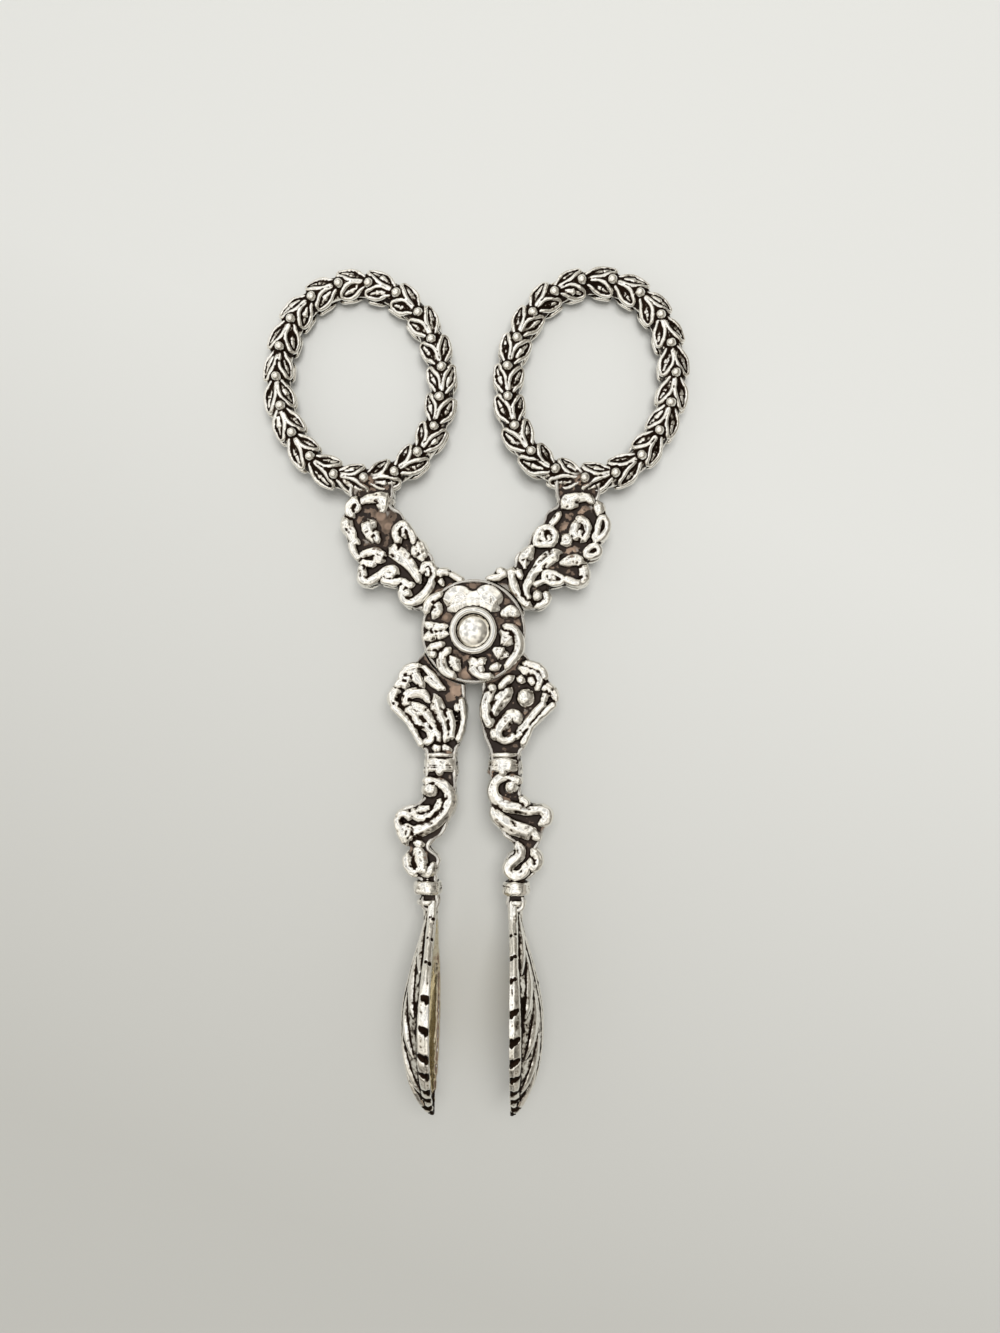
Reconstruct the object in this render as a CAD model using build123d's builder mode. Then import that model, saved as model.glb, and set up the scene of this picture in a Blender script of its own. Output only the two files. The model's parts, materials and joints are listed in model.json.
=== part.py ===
from build123d import *
from math import atan2, cos, degrees, radians, sin, sqrt
import os

# Sugar nips of the scissor kind, cast in silver: two crossed arms that turn on one rivet.
# Each arm is soldered up from a finger ring, a handle, a pivot boss, a stem and a bowl.
# The arms come from one set of moulds, with ornament on both faces. The back arm is the
# front arm turned over, so every function here takes the plane of the arm it works on.
# The nips lie as they do on a table: on the lower edges of both bowls and the far ends of
# both finger rings. All lengths are in millimetres.

# Finger ring: an oval of four tangent arcs, wrapped in a laurel wreath
ring_length = 28.8
ring_width = 23.6
ring_end_radius = 10.6
ring_core_diameter = 2.7
ring_lean = 8
ring_foot_width = 4.6
ring_foot_thickness = 2.4
ring_foot_reach = 0.65
wreath_units = 18
wreath_leaf_length = 5.4
wreath_leaf_width = 2.9
wreath_leaf_offset = 0.72
wreath_leaf_splay = 14
wreath_berry_diameter = 1.25
wreath_berry_proud = 0.42

# Handle: the acanthus plate from the boss up to the ring's foot
handle_length = 24.6
handle_thickness = 2.2
handle_foot_share = (-0.581, 0.813)

# Pivot boss: a half-lapped disc with a rosette
boss_diameter = 14.6
boss_thickness = 1.9
boss_rim_width = 0.55
boss_rim_height = 0.5
bezel_outer_diameter = 6.1
bezel_inner_diameter = 4.9
bezel_height = 1.05
petal_height = 0.95

# Stem: the scrolled arm from the boss down to the bowl
stem_length = 37.4
stem_thickness = 2.2
stem_neck_share = (0.157, -1.0)

# Bowl: a leaf-shaped shell standing on edge, hollow towards the other bowl
bowl_length = 28.9
bowl_width = 17.6
bowl_depth = 4.4
bowl_wall = 0.9
bowl_rim_offset = 5.2
bowl_neck_diameter = 2.1
bowl_neck_length = 4.4
bowl_band_width = 1.3
bowl_band_proud = 0.25

# Rivet and the burr it is closed over
rivet_diameter = 3.0
rivet_head_diameter = 4.6
rivet_head_rim = 0.35
rivet_head_crown = 0.75
rivet_tail_diameter = 4.0
rivet_tail_crown = 0.55
burr_diameter = 4.7
burr_thickness = 0.5

# Clearances
boss_gap = 0.06
hinge_clearance = 0.05
burr_gap = 0.05
lap_clearance = 0.3
rest_flat = 0.1
overrun = 1.0

# How far a lobe of ornament stands over its plate, as a share of the lobe's width, and
# how thick a collar is from face to face, as a share of its width
relief_share = 0.35
collar_depth_share = 0.75

# Both scalloped edges of each plate as shares of its length, with the pivot at the origin.
# Every second point is the crown of a scallop, and the outer edge is the one away from
# the nips' middle line.
handle_outer_edge_shares = [
    (-0.690, 0.900),
    (-0.722, 0.800),
    (-0.705, 0.735),
    (-0.770, 0.650),
    (-0.735, 0.540),
    (-0.705, 0.465),
    (-0.645, 0.410),
    (-0.668, 0.330),
    (-0.625, 0.270),
    (-0.530, 0.290),
    (-0.435, 0.262),
    (-0.425, 0.185),
    (-0.350, 0.130),
    (-0.265, 0.120),
    (-0.200, 0.060),
]
handle_inner_edge_shares = [
    (-0.488, 0.900),
    (-0.468, 0.810),
    (-0.480, 0.730),
    (-0.415, 0.685),
    (-0.390, 0.600),
    (-0.330, 0.565),
    (-0.300, 0.480),
    (-0.242, 0.442),
    (-0.225, 0.365),
    (-0.138, 0.355),
    (-0.070, 0.290),
    (-0.035, 0.225),
    (-0.030, 0.150),
]
stem_outer_edge_shares = [
    (0.130, -0.050),
    (0.190, -0.080),
    (0.230, -0.135),
    (0.270, -0.150),
    (0.285, -0.200),
    (0.318, -0.235),
    (0.296, -0.280),
    (0.245, -0.308),
    (0.215, -0.365),
    (0.207, -0.412),
    (0.180, -0.445),
    (0.186, -0.525),
    (0.178, -0.605),
    (0.207, -0.642),
    (0.262, -0.660),
    (0.292, -0.690),
    (0.262, -0.735),
    (0.243, -0.762),
    (0.240, -0.795),
    (0.254, -0.850),
    (0.225, -0.905),
    (0.196, -0.920),
    (0.180, -0.950),
    (0.186, -0.990),
    (0.180, -1.030),
]
stem_inner_edge_shares = [
    (0.020, -0.090),
    (0.036, -0.160),
    (0.034, -0.230),
    (0.024, -0.310),
    (0.040, -0.390),
    (0.045, -0.430),
    (0.066, -0.455),
    (0.060, -0.528),
    (0.066, -0.600),
    (0.069, -0.660),
    (0.095, -0.705),
    (0.118, -0.765),
    (0.163, -0.800),
    (0.163, -0.848),
    (0.133, -0.880),
    (0.127, -0.955),
    (0.136, -1.030),
]

# Lobes of ornament: x, y, length and width as shares of the plate's length, then a turn
# in degrees. A lobe as wide as it is long is a ball.
handle_lobe_shares = [
    (-0.548, 0.752, 0.190, 0.092, -10),
    (-0.520, 0.712, 0.090, 0.085, -60),
    (-0.683, 0.715, 0.145, 0.066, 65),
    (-0.734, 0.615, 0.150, 0.083, 110),
    (-0.690, 0.492, 0.155, 0.066, 113),
    (-0.594, 0.594, 0.165, 0.106, 100),
    (-0.585, 0.430, 0.170, 0.070, 8),
    (-0.604, 0.325, 0.185, 0.095, 112),
    (-0.490, 0.322, 0.165, 0.085, 12),
    (-0.451, 0.463, 0.180, 0.114, -40),
    (-0.354, 0.366, 0.200, 0.056, -52),
    (-0.406, 0.561, 0.160, 0.104, -60),
    (-0.317, 0.472, 0.145, 0.088, -65),
    (-0.386, 0.215, 0.075, 0.075, 0),
    (-0.300, 0.200, 0.170, 0.055, 30),
    (-0.243, 0.315, 0.185, 0.058, 78),
    (-0.178, 0.335, 0.130, 0.062, -22),
]
stem_lobe_shares = [
    (0.258, -0.322, 0.215, 0.036, 52),
    (0.192, -0.254, 0.080, 0.080, 0),
    (0.205, -0.180, 0.120, 0.076, -40),
    (0.265, -0.238, 0.120, 0.056, -66),
    (0.086, -0.274, 0.150, 0.072, 62),
    (0.128, -0.332, 0.125, 0.064, 28),
    (0.048, -0.340, 0.190, 0.036, 88),
    (0.110, -0.395, 0.110, 0.045, 60),
    (0.078, -0.596, 0.115, 0.038, 88),
    (0.126, -0.552, 0.115, 0.036, 0),
    (0.131, -0.578, 0.055, 0.055, 0),
    (0.172, -0.652, 0.190, 0.052, -12),
    (0.262, -0.686, 0.075, 0.058, 75),
    (0.160, -0.712, 0.220, 0.060, -35),
    (0.186, -0.816, 0.095, 0.045, 68),
    (0.150, -0.880, 0.085, 0.056, 28),
    (0.232, -0.850, 0.085, 0.048, 80),
]

# Collars round the stem: middle x, top y, width and length as shares of the stem's length
collar_shares = [
    (0.117, -0.455, 0.115, 0.018),
    (0.119, -0.481, 0.126, 0.043),
    (0.157, -0.917, 0.080, 0.016),
    (0.157, -0.937, 0.085, 0.040),
    (0.157, -0.982, 0.068, 0.018),
]

# Petals of the rosette: middle radius, length and width as shares of the boss's
# diameter, then the angle round the boss in degrees
petal_shares = [
    (0.300, 0.330, 0.270, 66),
    (0.300, 0.330, 0.270, 114),
    (0.355, 0.240, 0.150, 146),
    (0.345, 0.250, 0.170, 176),
    (0.350, 0.250, 0.140, 204),
    (0.345, 0.260, 0.150, 232),
    (0.335, 0.260, 0.150, 262),
    (0.335, 0.260, 0.150, 292),
    (0.345, 0.260, 0.160, 322),
    (0.345, 0.250, 0.170, 352),
    (0.355, 0.240, 0.150, 24),
]

# Bowl sections from neck to tip: place along the bowl, half width and depth, as shares
# of the bowl's length, half width and depth. The bowl rests on its widest section.
widest_station_share = 0.560
bowl_station_shares = [
    (0.090, 0.170, 0.300),
    (0.200, 0.480, 0.500),
    (0.320, 0.790, 0.740),
    (0.440, 0.965, 0.920),
    (widest_station_share, 1.000, 1.000),
    (0.680, 0.920, 0.970),
    (0.790, 0.740, 0.830),
    (0.890, 0.470, 0.570),
    (0.960, 0.220, 0.290),
    (1.000, 0.050, 0.080),
]

# Places on an arm, worked out from the sizes above
ring_centre_reach = ring_length / 2 + ring_core_diameter / 2 + ring_foot_reach
foot_x = handle_foot_share[0] * handle_length
foot_y = handle_foot_share[1] * handle_length
ring_x = foot_x - ring_centre_reach * sin(radians(ring_lean))
ring_y = foot_y + ring_centre_reach * cos(radians(ring_lean))
neck_x = stem_neck_share[0] * stem_length
neck_y = stem_neck_share[1] * stem_length
bowl_rest_y = neck_y - widest_station_share * bowl_length
ring_rest_y = ring_y + ring_length / 2

# How the nips lie: the arms slope down from the bowls to the rings
ring_half_thickness = wreath_leaf_width / 2 + wreath_berry_proud
rest_rise = bowl_width / 2 + bowl_band_proud - ring_half_thickness
rest_span = ring_rest_y - bowl_rest_y
lie_slope = degrees(atan2(rest_rise, rest_span))
lie_sin = sin(radians(lie_slope))
lie_cos = cos(radians(lie_slope))
pivot_height = ring_rest_y * lie_sin + ring_half_thickness * lie_cos - rest_flat

# The row's origin is under the middle of the nips' length
ring_far_end = ring_rest_y + wreath_leaf_width / 2
bowl_far_end = bowl_length - neck_y
pivot_y = (bowl_far_end - ring_far_end) / 2 * lie_cos

pivot_point = (0, pivot_y, pivot_height)
front_plane = Plane(origin=pivot_point, x_dir=(1, 0, 0), z_dir=(0, lie_sin, lie_cos))
back_plane = Plane(origin=pivot_point, x_dir=(-1, 0, 0), z_dir=(0, -lie_sin, -lie_cos))
arm_planes = {"front": front_plane, "back": back_plane}

os.makedirs("parts", exist_ok=True)


def pointed_leaf(length, width):
    """A leaf that is round in section and pointed at both ends, along X."""
    with BuildPart() as leaf:
        with BuildSketch():
            with BuildLine():
                Bezier((-length / 2, 0), (0, width), (length / 2, 0))
                Line((length / 2, 0), (-length / 2, 0))
            make_face()
        revolve(axis=Axis.X)
    return leaf.part


def oval_lobe(length, width):
    """A lobe that is round in section and oval from above, along X."""
    with BuildPart() as lobe:
        with BuildSketch():
            Ellipse(length / 2, width / 2)
            Rectangle(length, width, align=(Align.CENTER, Align.MIN), mode=Mode.INTERSECT)
        revolve(axis=Axis.X)
    return lobe.part


def lobes_on_both_faces(lobe_shares, plate_length, plate_thickness):
    """Each lobe of a plate as a pair, one on the front face and one on the back."""
    pairs = []
    for x, y, length, width, turn in lobe_shares:
        lobe = oval_lobe(length * plate_length, width * plate_length)
        crown = plate_thickness / 2 + relief_share * width * plate_length
        lift = crown - width * plate_length / 2
        pair = []
        for face in (1, -1):
            centre = (x * plate_length, y * plate_length, face * lift)
            pair.append(lobe.moved(Location(centre, (0, 0, turn))))
        pairs.append(pair)
    return pairs


def scallops(points):
    """Draws one arc after another through the points, three at a time."""
    for start, crown, end in zip(points[0:-2:2], points[1:-1:2], points[2::2]):
        ThreePointArc(start, crown, end)


def plate(outer_edge_shares, inner_edge_shares, length, thickness):
    """A flat plate between two scalloped edges."""
    outer_edge = [(x * length, y * length) for x, y in outer_edge_shares]
    inner_edge = [(x * length, y * length) for x, y in inner_edge_shares]
    with BuildPart() as blank:
        with BuildSketch(Plane.XY.offset(-thickness / 2)):
            with BuildLine():
                scallops(outer_edge)
                scallops(inner_edge)
                Line(outer_edge[0], inner_edge[0])
                Line(outer_edge[-1], inner_edge[-1])
            make_face()
        extrude(amount=thickness)
    return blank.part


def lap_cutter(thickness):
    """The room both bosses need in a plate: its own fits close, the other turns clear."""
    height = thickness + 2 * overrun
    seat = Plane.XY.offset(boss_gap / 2)
    with BuildPart() as cutter:
        with BuildSketch(seat):
            Circle(boss_diameter / 2)
        extrude(amount=height)
        with BuildSketch(seat):
            Circle(boss_diameter / 2 + lap_clearance)
        extrude(amount=-height)
    return cutter.part


def oval():
    """Draws the ring's centre line: an oval of four tangent arcs, long way up."""
    end_centre = ring_length / 2 - ring_end_radius
    half_width = ring_width / 2
    side_radius = (end_centre**2 + half_width**2 - ring_end_radius**2) / (
        2 * (half_width - ring_end_radius)
    )
    side_centre = side_radius - half_width
    meet = degrees(atan2(end_centre, side_centre))
    CenterArc((-side_centre, 0), side_radius, -meet, 2 * meet)
    CenterArc((0, end_centre), ring_end_radius, meet, 180 - 2 * meet)
    CenterArc((side_centre, 0), side_radius, 180 - meet, 2 * meet)
    CenterArc((0, -end_centre), ring_end_radius, 180 + meet, 180 - 2 * meet)


def across(x, y, turn=0):
    """The plane that cuts an arm straight across at a point, facing the bowl end."""
    return Plane(Location((x, y, 0), (0, 0, turn)) * Location((0, 0, 0), (90, 0, 0)))


def wreath_places():
    """Where each leaf and each berry of the wreath sits, in the ring's own plane."""
    with BuildLine() as centre_line:
        oval()
    way_round = centre_line.wire()
    leaves = []
    berries = []
    berry_lift = ring_half_thickness - wreath_berry_diameter / 2
    for unit in range(wreath_units):
        point = way_round @ (unit / wreath_units)
        heading = way_round % (unit / wreath_units)
        turn = degrees(atan2(heading.Y, heading.X))
        for side in (1, -1):
            here = Location((point.X, point.Y, 0), (0, 0, turn))
            aside = Location((0, side * wreath_leaf_offset, 0), (0, 0, side * wreath_leaf_splay))
            leaves.append(here * aside)
            berries.append(Location((point.X, point.Y, side * berry_lift)))
    return leaves, berries


def cast_finger_ring():
    """The oval ring: a round core, a wreath of leaves and berries, and a foot."""
    middle = Location((ring_x, ring_y, 0), (0, 0, ring_lean))
    ring_plane = Plane(middle)
    leaf = pointed_leaf(wreath_leaf_length, wreath_leaf_width)
    leaf_places, berry_places = wreath_places()
    with BuildPart(ring_plane) as finger_ring:
        with BuildLine(ring_plane) as centre_line:
            oval()
        start = centre_line.wire() @ 0
        with BuildSketch(Plane(origin=start, z_dir=centre_line.wire() % 0)):
            Circle(ring_core_diameter / 2)
        sweep(path=centre_line.wire())
        with Locations(*leaf_places):
            add(leaf)
        with Locations(*berry_places):
            Sphere(wreath_berry_diameter / 2)
        with BuildSketch(ring_plane.offset(-ring_foot_thickness / 2)):
            with Locations((0, -ring_length / 2)):
                foot_reach = ring_core_diameter / 2 + ring_foot_reach
                Rectangle(ring_foot_width, foot_reach, align=(Align.CENTER, Align.MAX))
        extrude(amount=ring_foot_thickness)
        split(bisect_by=across(foot_x, foot_y, ring_lean), keep=Keep.BOTTOM)
    return finger_ring.part


def cast_handle():
    """The pierced-looking acanthus plate between the boss and the finger ring."""
    with BuildPart() as handle:
        add(
            plate(
                handle_outer_edge_shares, handle_inner_edge_shares, handle_length, handle_thickness
            )
        )
        for pair in lobes_on_both_faces(handle_lobe_shares, handle_length, handle_thickness):
            add(pair)
        split(bisect_by=across(foot_x, foot_y, ring_lean), keep=Keep.TOP)
        add(lap_cutter(handle_thickness), mode=Mode.SUBTRACT)
    return handle.part


def cast_boss(bore_diameter):
    """Half of the lapped joint: a disc with a rim, a rosette and a bezel for the rivet."""
    face = boss_gap / 2 + boss_thickness
    with BuildPart() as boss:
        with BuildSketch(Plane.XY.offset(face)):
            Circle(boss_diameter / 2)
        extrude(amount=boss_rim_height)
        with BuildSketch(Plane.XY.offset(face)):
            Circle(boss_diameter / 2 - boss_rim_width)
        extrude(amount=boss_rim_height, mode=Mode.SUBTRACT)
        with BuildSketch(Plane.XY.offset(boss_gap / 2)):
            Circle(boss_diameter / 2)
        extrude(amount=boss_thickness)
        for reach, length, width, turn in petal_shares:
            petal = oval_lobe(length * boss_diameter, width * boss_diameter)
            lift = face + petal_height - width * boss_diameter / 2
            out = Location((0, 0, 0), (0, 0, turn)) * Location((reach * boss_diameter, 0, lift))
            add(petal.moved(out * Location((0, 0, 0), (0, 0, 90))))
        with BuildSketch(Plane.XY.offset(face)):
            Circle(bezel_outer_diameter / 2)
        extrude(amount=bezel_height)
        with BuildSketch(Plane.XY.offset(face)):
            Circle(bezel_inner_diameter / 2)
        extrude(amount=bezel_height + overrun, mode=Mode.SUBTRACT)
        with BuildSketch(Plane.XY.offset(boss_gap / 2)):
            Circle(boss_diameter + overrun)
        extrude(amount=-boss_diameter, mode=Mode.SUBTRACT)
        with BuildSketch():
            Circle(bore_diameter / 2)
        extrude(amount=face + overrun, mode=Mode.SUBTRACT)
    return boss.part


def cast_stem():
    """The scrolled plate between the boss and the bowl, with its collars."""
    with BuildPart() as stem:
        add(plate(stem_outer_edge_shares, stem_inner_edge_shares, stem_length, stem_thickness))
        for x, y, width, length in collar_shares:
            with BuildSketch(across(x * stem_length, y * stem_length)):
                SlotOverall(width * stem_length, width * stem_length * collar_depth_share)
            extrude(amount=length * stem_length)
        for pair in lobes_on_both_faces(stem_lobe_shares, stem_length, stem_thickness):
            add(pair)
        split(bisect_by=across(neck_x, neck_y), keep=Keep.BOTTOM)
        add(lap_cutter(stem_thickness), mode=Mode.SUBTRACT)
    return stem.part


def cast_bowl():
    """The leaf-shaped shell: an outer skin and a notched band, less the hollow."""
    half_width = bowl_width / 2
    with BuildPart() as bowl:
        with BuildSketch(across(neck_x, neck_y)):
            Circle(bowl_neck_diameter / 2)
        extrude(amount=bowl_neck_length)
        for along, wide, deep in bowl_station_shares:
            with BuildSketch(across(bowl_rim_offset, neck_y - along * bowl_length)):
                with BuildLine():
                    EllipticalCenterArc(
                        (0, 0), deep * bowl_depth, wide * half_width, start_angle=-90, arc_size=180
                    )
                    Line((0, wide * half_width), (0, -wide * half_width))
                make_face()
        loft()
        for along, wide, deep in bowl_station_shares:
            if deep * bowl_depth > 1.1 * bowl_band_width:
                with BuildSketch(across(bowl_rim_offset, neck_y - along * bowl_length)):
                    Ellipse(deep * bowl_depth + bowl_band_proud, wide * half_width + bowl_band_proud)
                    Rectangle(
                        bowl_band_width,
                        bowl_width + 2 * overrun,
                        align=(Align.MIN, Align.CENTER),
                        mode=Mode.INTERSECT,
                    )
        loft()
        for along, wide, deep in bowl_station_shares:
            inner_width = wide * half_width - bowl_wall
            inner_depth = deep * bowl_depth - bowl_wall
            if min(inner_width, inner_depth) > bowl_wall / 3:
                with BuildSketch(across(bowl_rim_offset, neck_y - along * bowl_length)):
                    with BuildLine():
                        EllipticalCenterArc(
                            (0, 0), inner_depth, inner_width, start_angle=-90, arc_size=180
                        )
                        Polyline(
                            (0, inner_width),
                            (-overrun, inner_width),
                            (-overrun, -inner_width),
                            (0, -inner_width),
                        )
                    make_face()
        loft(mode=Mode.SUBTRACT)
    return bowl.part


def make_rivet():
    face = boss_gap / 2 + boss_thickness
    head = face + rivet_head_rim
    tail = -(face + burr_gap + burr_thickness)
    pivot_axis = Axis(origin=front_plane.origin, direction=front_plane.z_dir)
    with BuildPart(front_plane) as rivet:
        with BuildSketch(Plane(front_plane.location * Location((0, 0, 0), (90, 0, 0)))):
            with BuildLine():
                Line((0, tail - rivet_tail_crown), (0, head + rivet_head_crown))
                TangentArc((0, head + rivet_head_crown), (rivet_head_diameter / 2, head), tangent=(1, 0))
                Polyline(
                    (rivet_head_diameter / 2, head),
                    (rivet_head_diameter / 2, face),
                    (rivet_diameter / 2, face),
                    (rivet_diameter / 2, tail),
                    (rivet_tail_diameter / 2, tail),
                )
                TangentArc((0, tail - rivet_tail_crown), (rivet_tail_diameter / 2, tail), tangent=(1, 0))
            make_face()
        revolve(axis=pivot_axis)
    rivet.part.label = "rivet"
    export_step(rivet.part, "parts/rivet.step")


def make_burr():
    face = boss_gap / 2 + boss_thickness
    with BuildPart(front_plane) as burr:
        with BuildSketch(front_plane.offset(-(face + burr_gap))):
            Circle(burr_diameter / 2)
            Circle(rivet_diameter / 2, mode=Mode.SUBTRACT)
        extrude(amount=-burr_thickness)
    burr.part.label = "rivet_burr"
    export_step(burr.part, "parts/rivet_burr.step")


castings = {"finger_ring": cast_finger_ring(), "handle": cast_handle(), "stem": cast_stem()}
castings["bowl"] = cast_bowl()
bores = {"front": rivet_diameter, "back": rivet_diameter + 2 * hinge_clearance}

for arm, plane in arm_planes.items():
    castings["boss"] = cast_boss(bores[arm])
    for name, casting in castings.items():
        with BuildPart(plane) as piece:
            add(casting)
            split(bisect_by=Plane.XY, keep=Keep.TOP)
        piece.part.label = f"{arm}_{name}"
        export_step(piece.part, f"parts/{arm}_{name}.step")
make_rivet()
make_burr()
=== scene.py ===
# %% [markdown]
# # Sugar nips in cast silver
#
# These nips are two crossed arms on one rivet. A silversmith casts each arm in parts: a
# finger ring wrapped in a laurel wreath, a scrolled handle, half of the lapped boss, a
# scrolled stem and a bowl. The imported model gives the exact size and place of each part.
# This lesson adds the ornament that the casting moulds gave the real ones, and the finish:
# bright silver on the high points and dark oxide in the hollows.

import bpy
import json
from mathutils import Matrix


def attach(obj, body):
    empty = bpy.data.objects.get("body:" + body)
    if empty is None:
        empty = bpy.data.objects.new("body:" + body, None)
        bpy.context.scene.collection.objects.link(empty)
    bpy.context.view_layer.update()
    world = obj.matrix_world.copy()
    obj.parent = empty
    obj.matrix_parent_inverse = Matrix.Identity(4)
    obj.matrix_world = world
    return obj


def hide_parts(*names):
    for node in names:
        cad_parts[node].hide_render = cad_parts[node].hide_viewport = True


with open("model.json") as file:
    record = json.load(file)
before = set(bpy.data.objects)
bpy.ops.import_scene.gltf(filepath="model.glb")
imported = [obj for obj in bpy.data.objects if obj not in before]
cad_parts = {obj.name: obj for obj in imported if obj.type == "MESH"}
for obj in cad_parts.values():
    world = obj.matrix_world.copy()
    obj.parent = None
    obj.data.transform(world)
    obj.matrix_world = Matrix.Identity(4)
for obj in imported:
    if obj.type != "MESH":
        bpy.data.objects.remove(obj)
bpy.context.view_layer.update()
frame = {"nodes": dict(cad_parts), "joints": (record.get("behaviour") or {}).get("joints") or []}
print("nodes:", sorted(frame["nodes"]))

# %% [markdown]
# ## Where an arm lies
#
# The nips rest on the edges of both bowls and on the far ends of both rings, so the arms
# slope a little. It is easier to model an arm flat, in millimetres, with the pivot at the
# origin, X across and Y towards the rings. The last step then lays it down on the slope.
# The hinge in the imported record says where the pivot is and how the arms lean.

# %% The move from a flat arm to the nips as they lie
import json
import random
from math import atan2, cos, degrees, hypot, pi, radians, sin, sqrt

import bpy
import numpy as np
from mathutils import Matrix, Vector

hinge = frame["joints"][0]
pivot = Vector(hinge["pos_m"])
lean = atan2(hinge["axis"][1], hinge["axis"][2])
lay_down = Matrix.Translation(pivot) @ Matrix.Rotation(-lean, 4, "X") @ Matrix.Scale(0.001, 4)
print("pivot at", tuple(pivot), "and the arms lean by", round(degrees(lean), 2), "degrees")


def add_object(name, data):
    """A new object with this data, linked to the scene."""
    thing = bpy.data.objects.new(name, data)
    bpy.context.scene.collection.objects.link(thing)
    return thing


# %% [markdown]
# ## Camera, sheet and light
#
# The photograph looks down on the nips from about 15 cm, on a pale seamless sheet. The near
# camera makes the bowls, which stand highest, look a little larger. Polished silver shows
# the room in it, so the room matters more than the lamp: here it is white at the upper left
# and falls off to grey walls. One soft lamp nearly overhead gives the soft shadow.

# %% Camera
# It stands 8 mm to the right of the middle and looks 1.8 degrees to the left.
camera_data = bpy.data.cameras.new("camera")
camera_data.sensor_fit = "AUTO"
camera_data.sensor_width = 36
camera_data.lens = 27.03
camera_data.clip_start = 0.005
camera = add_object("camera", camera_data)
camera.location = (0.0081, 0.00225, 0.1466)
camera.rotation_euler = (0, radians(1.8), 0)
bpy.context.scene.camera = camera
print("camera looks down from", camera.location.z, "m")


# %% Colour and node helpers
def linear(hex_colour):
    """An sRGB hex colour as the linear RGBA that Blender's sockets take."""
    channels = [int(hex_colour[i : i + 2], 16) / 255 for i in (1, 3, 5)]
    return [c / 12.92 if c <= 0.04045 else ((c + 0.055) / 1.055) ** 2.4 for c in channels] + [1]


def add_node(tree, kind, settings=None, links=None):
    """Adds one node. Settings are properties or socket values.

    A link feeds a socket from an output, or from the first output of a node.
    """
    node = tree.nodes.new("ShaderNode" + kind)
    for name, value in (settings or {}).items():
        if hasattr(node, str(name)):
            setattr(node, name, value)
        else:
            node.inputs[name].default_value = value
    for socket, source in (links or {}).items():
        tree.links.new(getattr(source, "outputs", [source])[0], node.inputs[socket])
    return node


def new_material(name):
    """A material with no nodes yet, and its node tree."""
    material = bpy.data.materials.new(name)
    material.use_nodes = True
    material.node_tree.nodes.clear()
    return material, material.node_tree


def set_ramp(node, stops):
    """Gives a colour ramp these (place, hex colour) stops. It comes with two of its own."""
    elements = node.color_ramp.elements
    for element, (place, colour) in zip(elements, stops[:2]):
        element.position = place
        element.color = linear(colour)
    for place, colour in stops[2:]:
        elements.new(place).color = linear(colour)


print("half bright in sRGB is", round(linear("#808080")[0], 3), "in linear light")

# %% Pale seamless sheet
# Coated photographic paper: smooth and matt. Its colour is painted a little lighter towards the
# rings, a painted light falloff from the side the light comes from.
sheet_paper, tree = new_material("seamless_paper")
place = add_node(tree, "TexCoord").outputs["Object"]
towards_lit_side = add_node(
    tree, "VectorMath", {"operation": "DOT_PRODUCT", 1: (0.4, 1.0, 0.0)}, {0: place}
)
# Painted light falloff: the paper's colour runs from darker to lighter along this way.
painted_light_falloff = add_node(
    tree, "MapRange", {"From Min": -0.09, "From Max": 0.04}, {"Value": towards_lit_side.outputs["Value"]}
)
paper_tone_with_painted_falloff = add_node(
    tree, "Mix", {"data_type": "RGBA", 6: linear("#BDBCB6"), 7: linear("#D8D8D4")}, {0: painted_light_falloff}
)
paper = add_node(tree, "BsdfPrincipled", {"Roughness": 0.6}, {"Base Color": paper_tone_with_painted_falloff.outputs[2]})
add_node(tree, "OutputMaterial", links={0: paper})

bpy.ops.mesh.primitive_plane_add(size=3, location=(0, 0, 0))
floor = bpy.context.object
floor.name = "floor"
floor.data.materials.append(sheet_paper)
print("floor is", floor.dimensions.x, "m wide")

# %% Room
# Only reflections see the room's tones. All other rays meet one even white.
bpy.context.scene.view_settings.view_transform = "Standard"
world = bpy.data.worlds.new("studio_room")
bpy.context.scene.world = world
world.use_nodes = True
tree = world.node_tree
tree.nodes.clear()
direction = add_node(tree, "TexCoord").outputs["Generated"]
window_side = add_node(
    tree, "VectorMath", {"operation": "DOT_PRODUCT", 1: (-0.34, 0.30, 0.89)}, {0: direction}
)
room_tone = add_node(tree, "ValToRGB", links={0: window_side.outputs["Value"]})
set_ramp(
    room_tone,
    [(0.0, "#A5A098"), (0.10, "#6E6962"), (0.34, "#A8A39A"), (0.55, "#D2CEC6"), (0.74, "#F3F0EA"),
     (0.88, "#FFFFFF"), (1.0, "#FFFFFF")],
)  # fmt: skip
furniture = add_node(tree, "TexNoise", {"Scale": 2.4, "Detail": 1.0}, {"Vector": direction})
furniture_tone = add_node(
    tree,
    "MapRange",
    {"From Min": 0.42, "From Max": 0.58, "To Min": 0.66, "To Max": 1.40},
    {"Value": furniture},
)
ray = add_node(tree, "LightPath")
even_light = add_node(tree, "Background", {"Color": linear("#FFFEFB"), "Strength": 0.50})
mirrored = add_node(tree, "Background", links={"Color": room_tone, "Strength": furniture_tone})
room = add_node(
    tree, "MixShader", links={0: ray.outputs["Is Glossy Ray"], 1: even_light, 2: mirrored}
)
add_node(tree, "OutputWorld", links={0: room})
print("room:", world.name, "with", len(room_tone.color_ramp.elements), "tones")

# %% Lamp
# It stands towards the rings and slightly right. The silver doesn't mirror it.
lamp_data = bpy.data.lights.new("key_lamp", "AREA")
lamp_data.size = 0.26
lamp_data.energy = 2.45
lamp = add_object("key_lamp", lamp_data)
lamp.location = (0.06, 0.13, 0.58)
lamp.rotation_euler = (-lamp.location).to_track_quat("-Z", "Y").to_euler()
lamp.visible_glossy = False
print("lamp:", lamp.name, "of", lamp_data.energy, "W")
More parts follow.
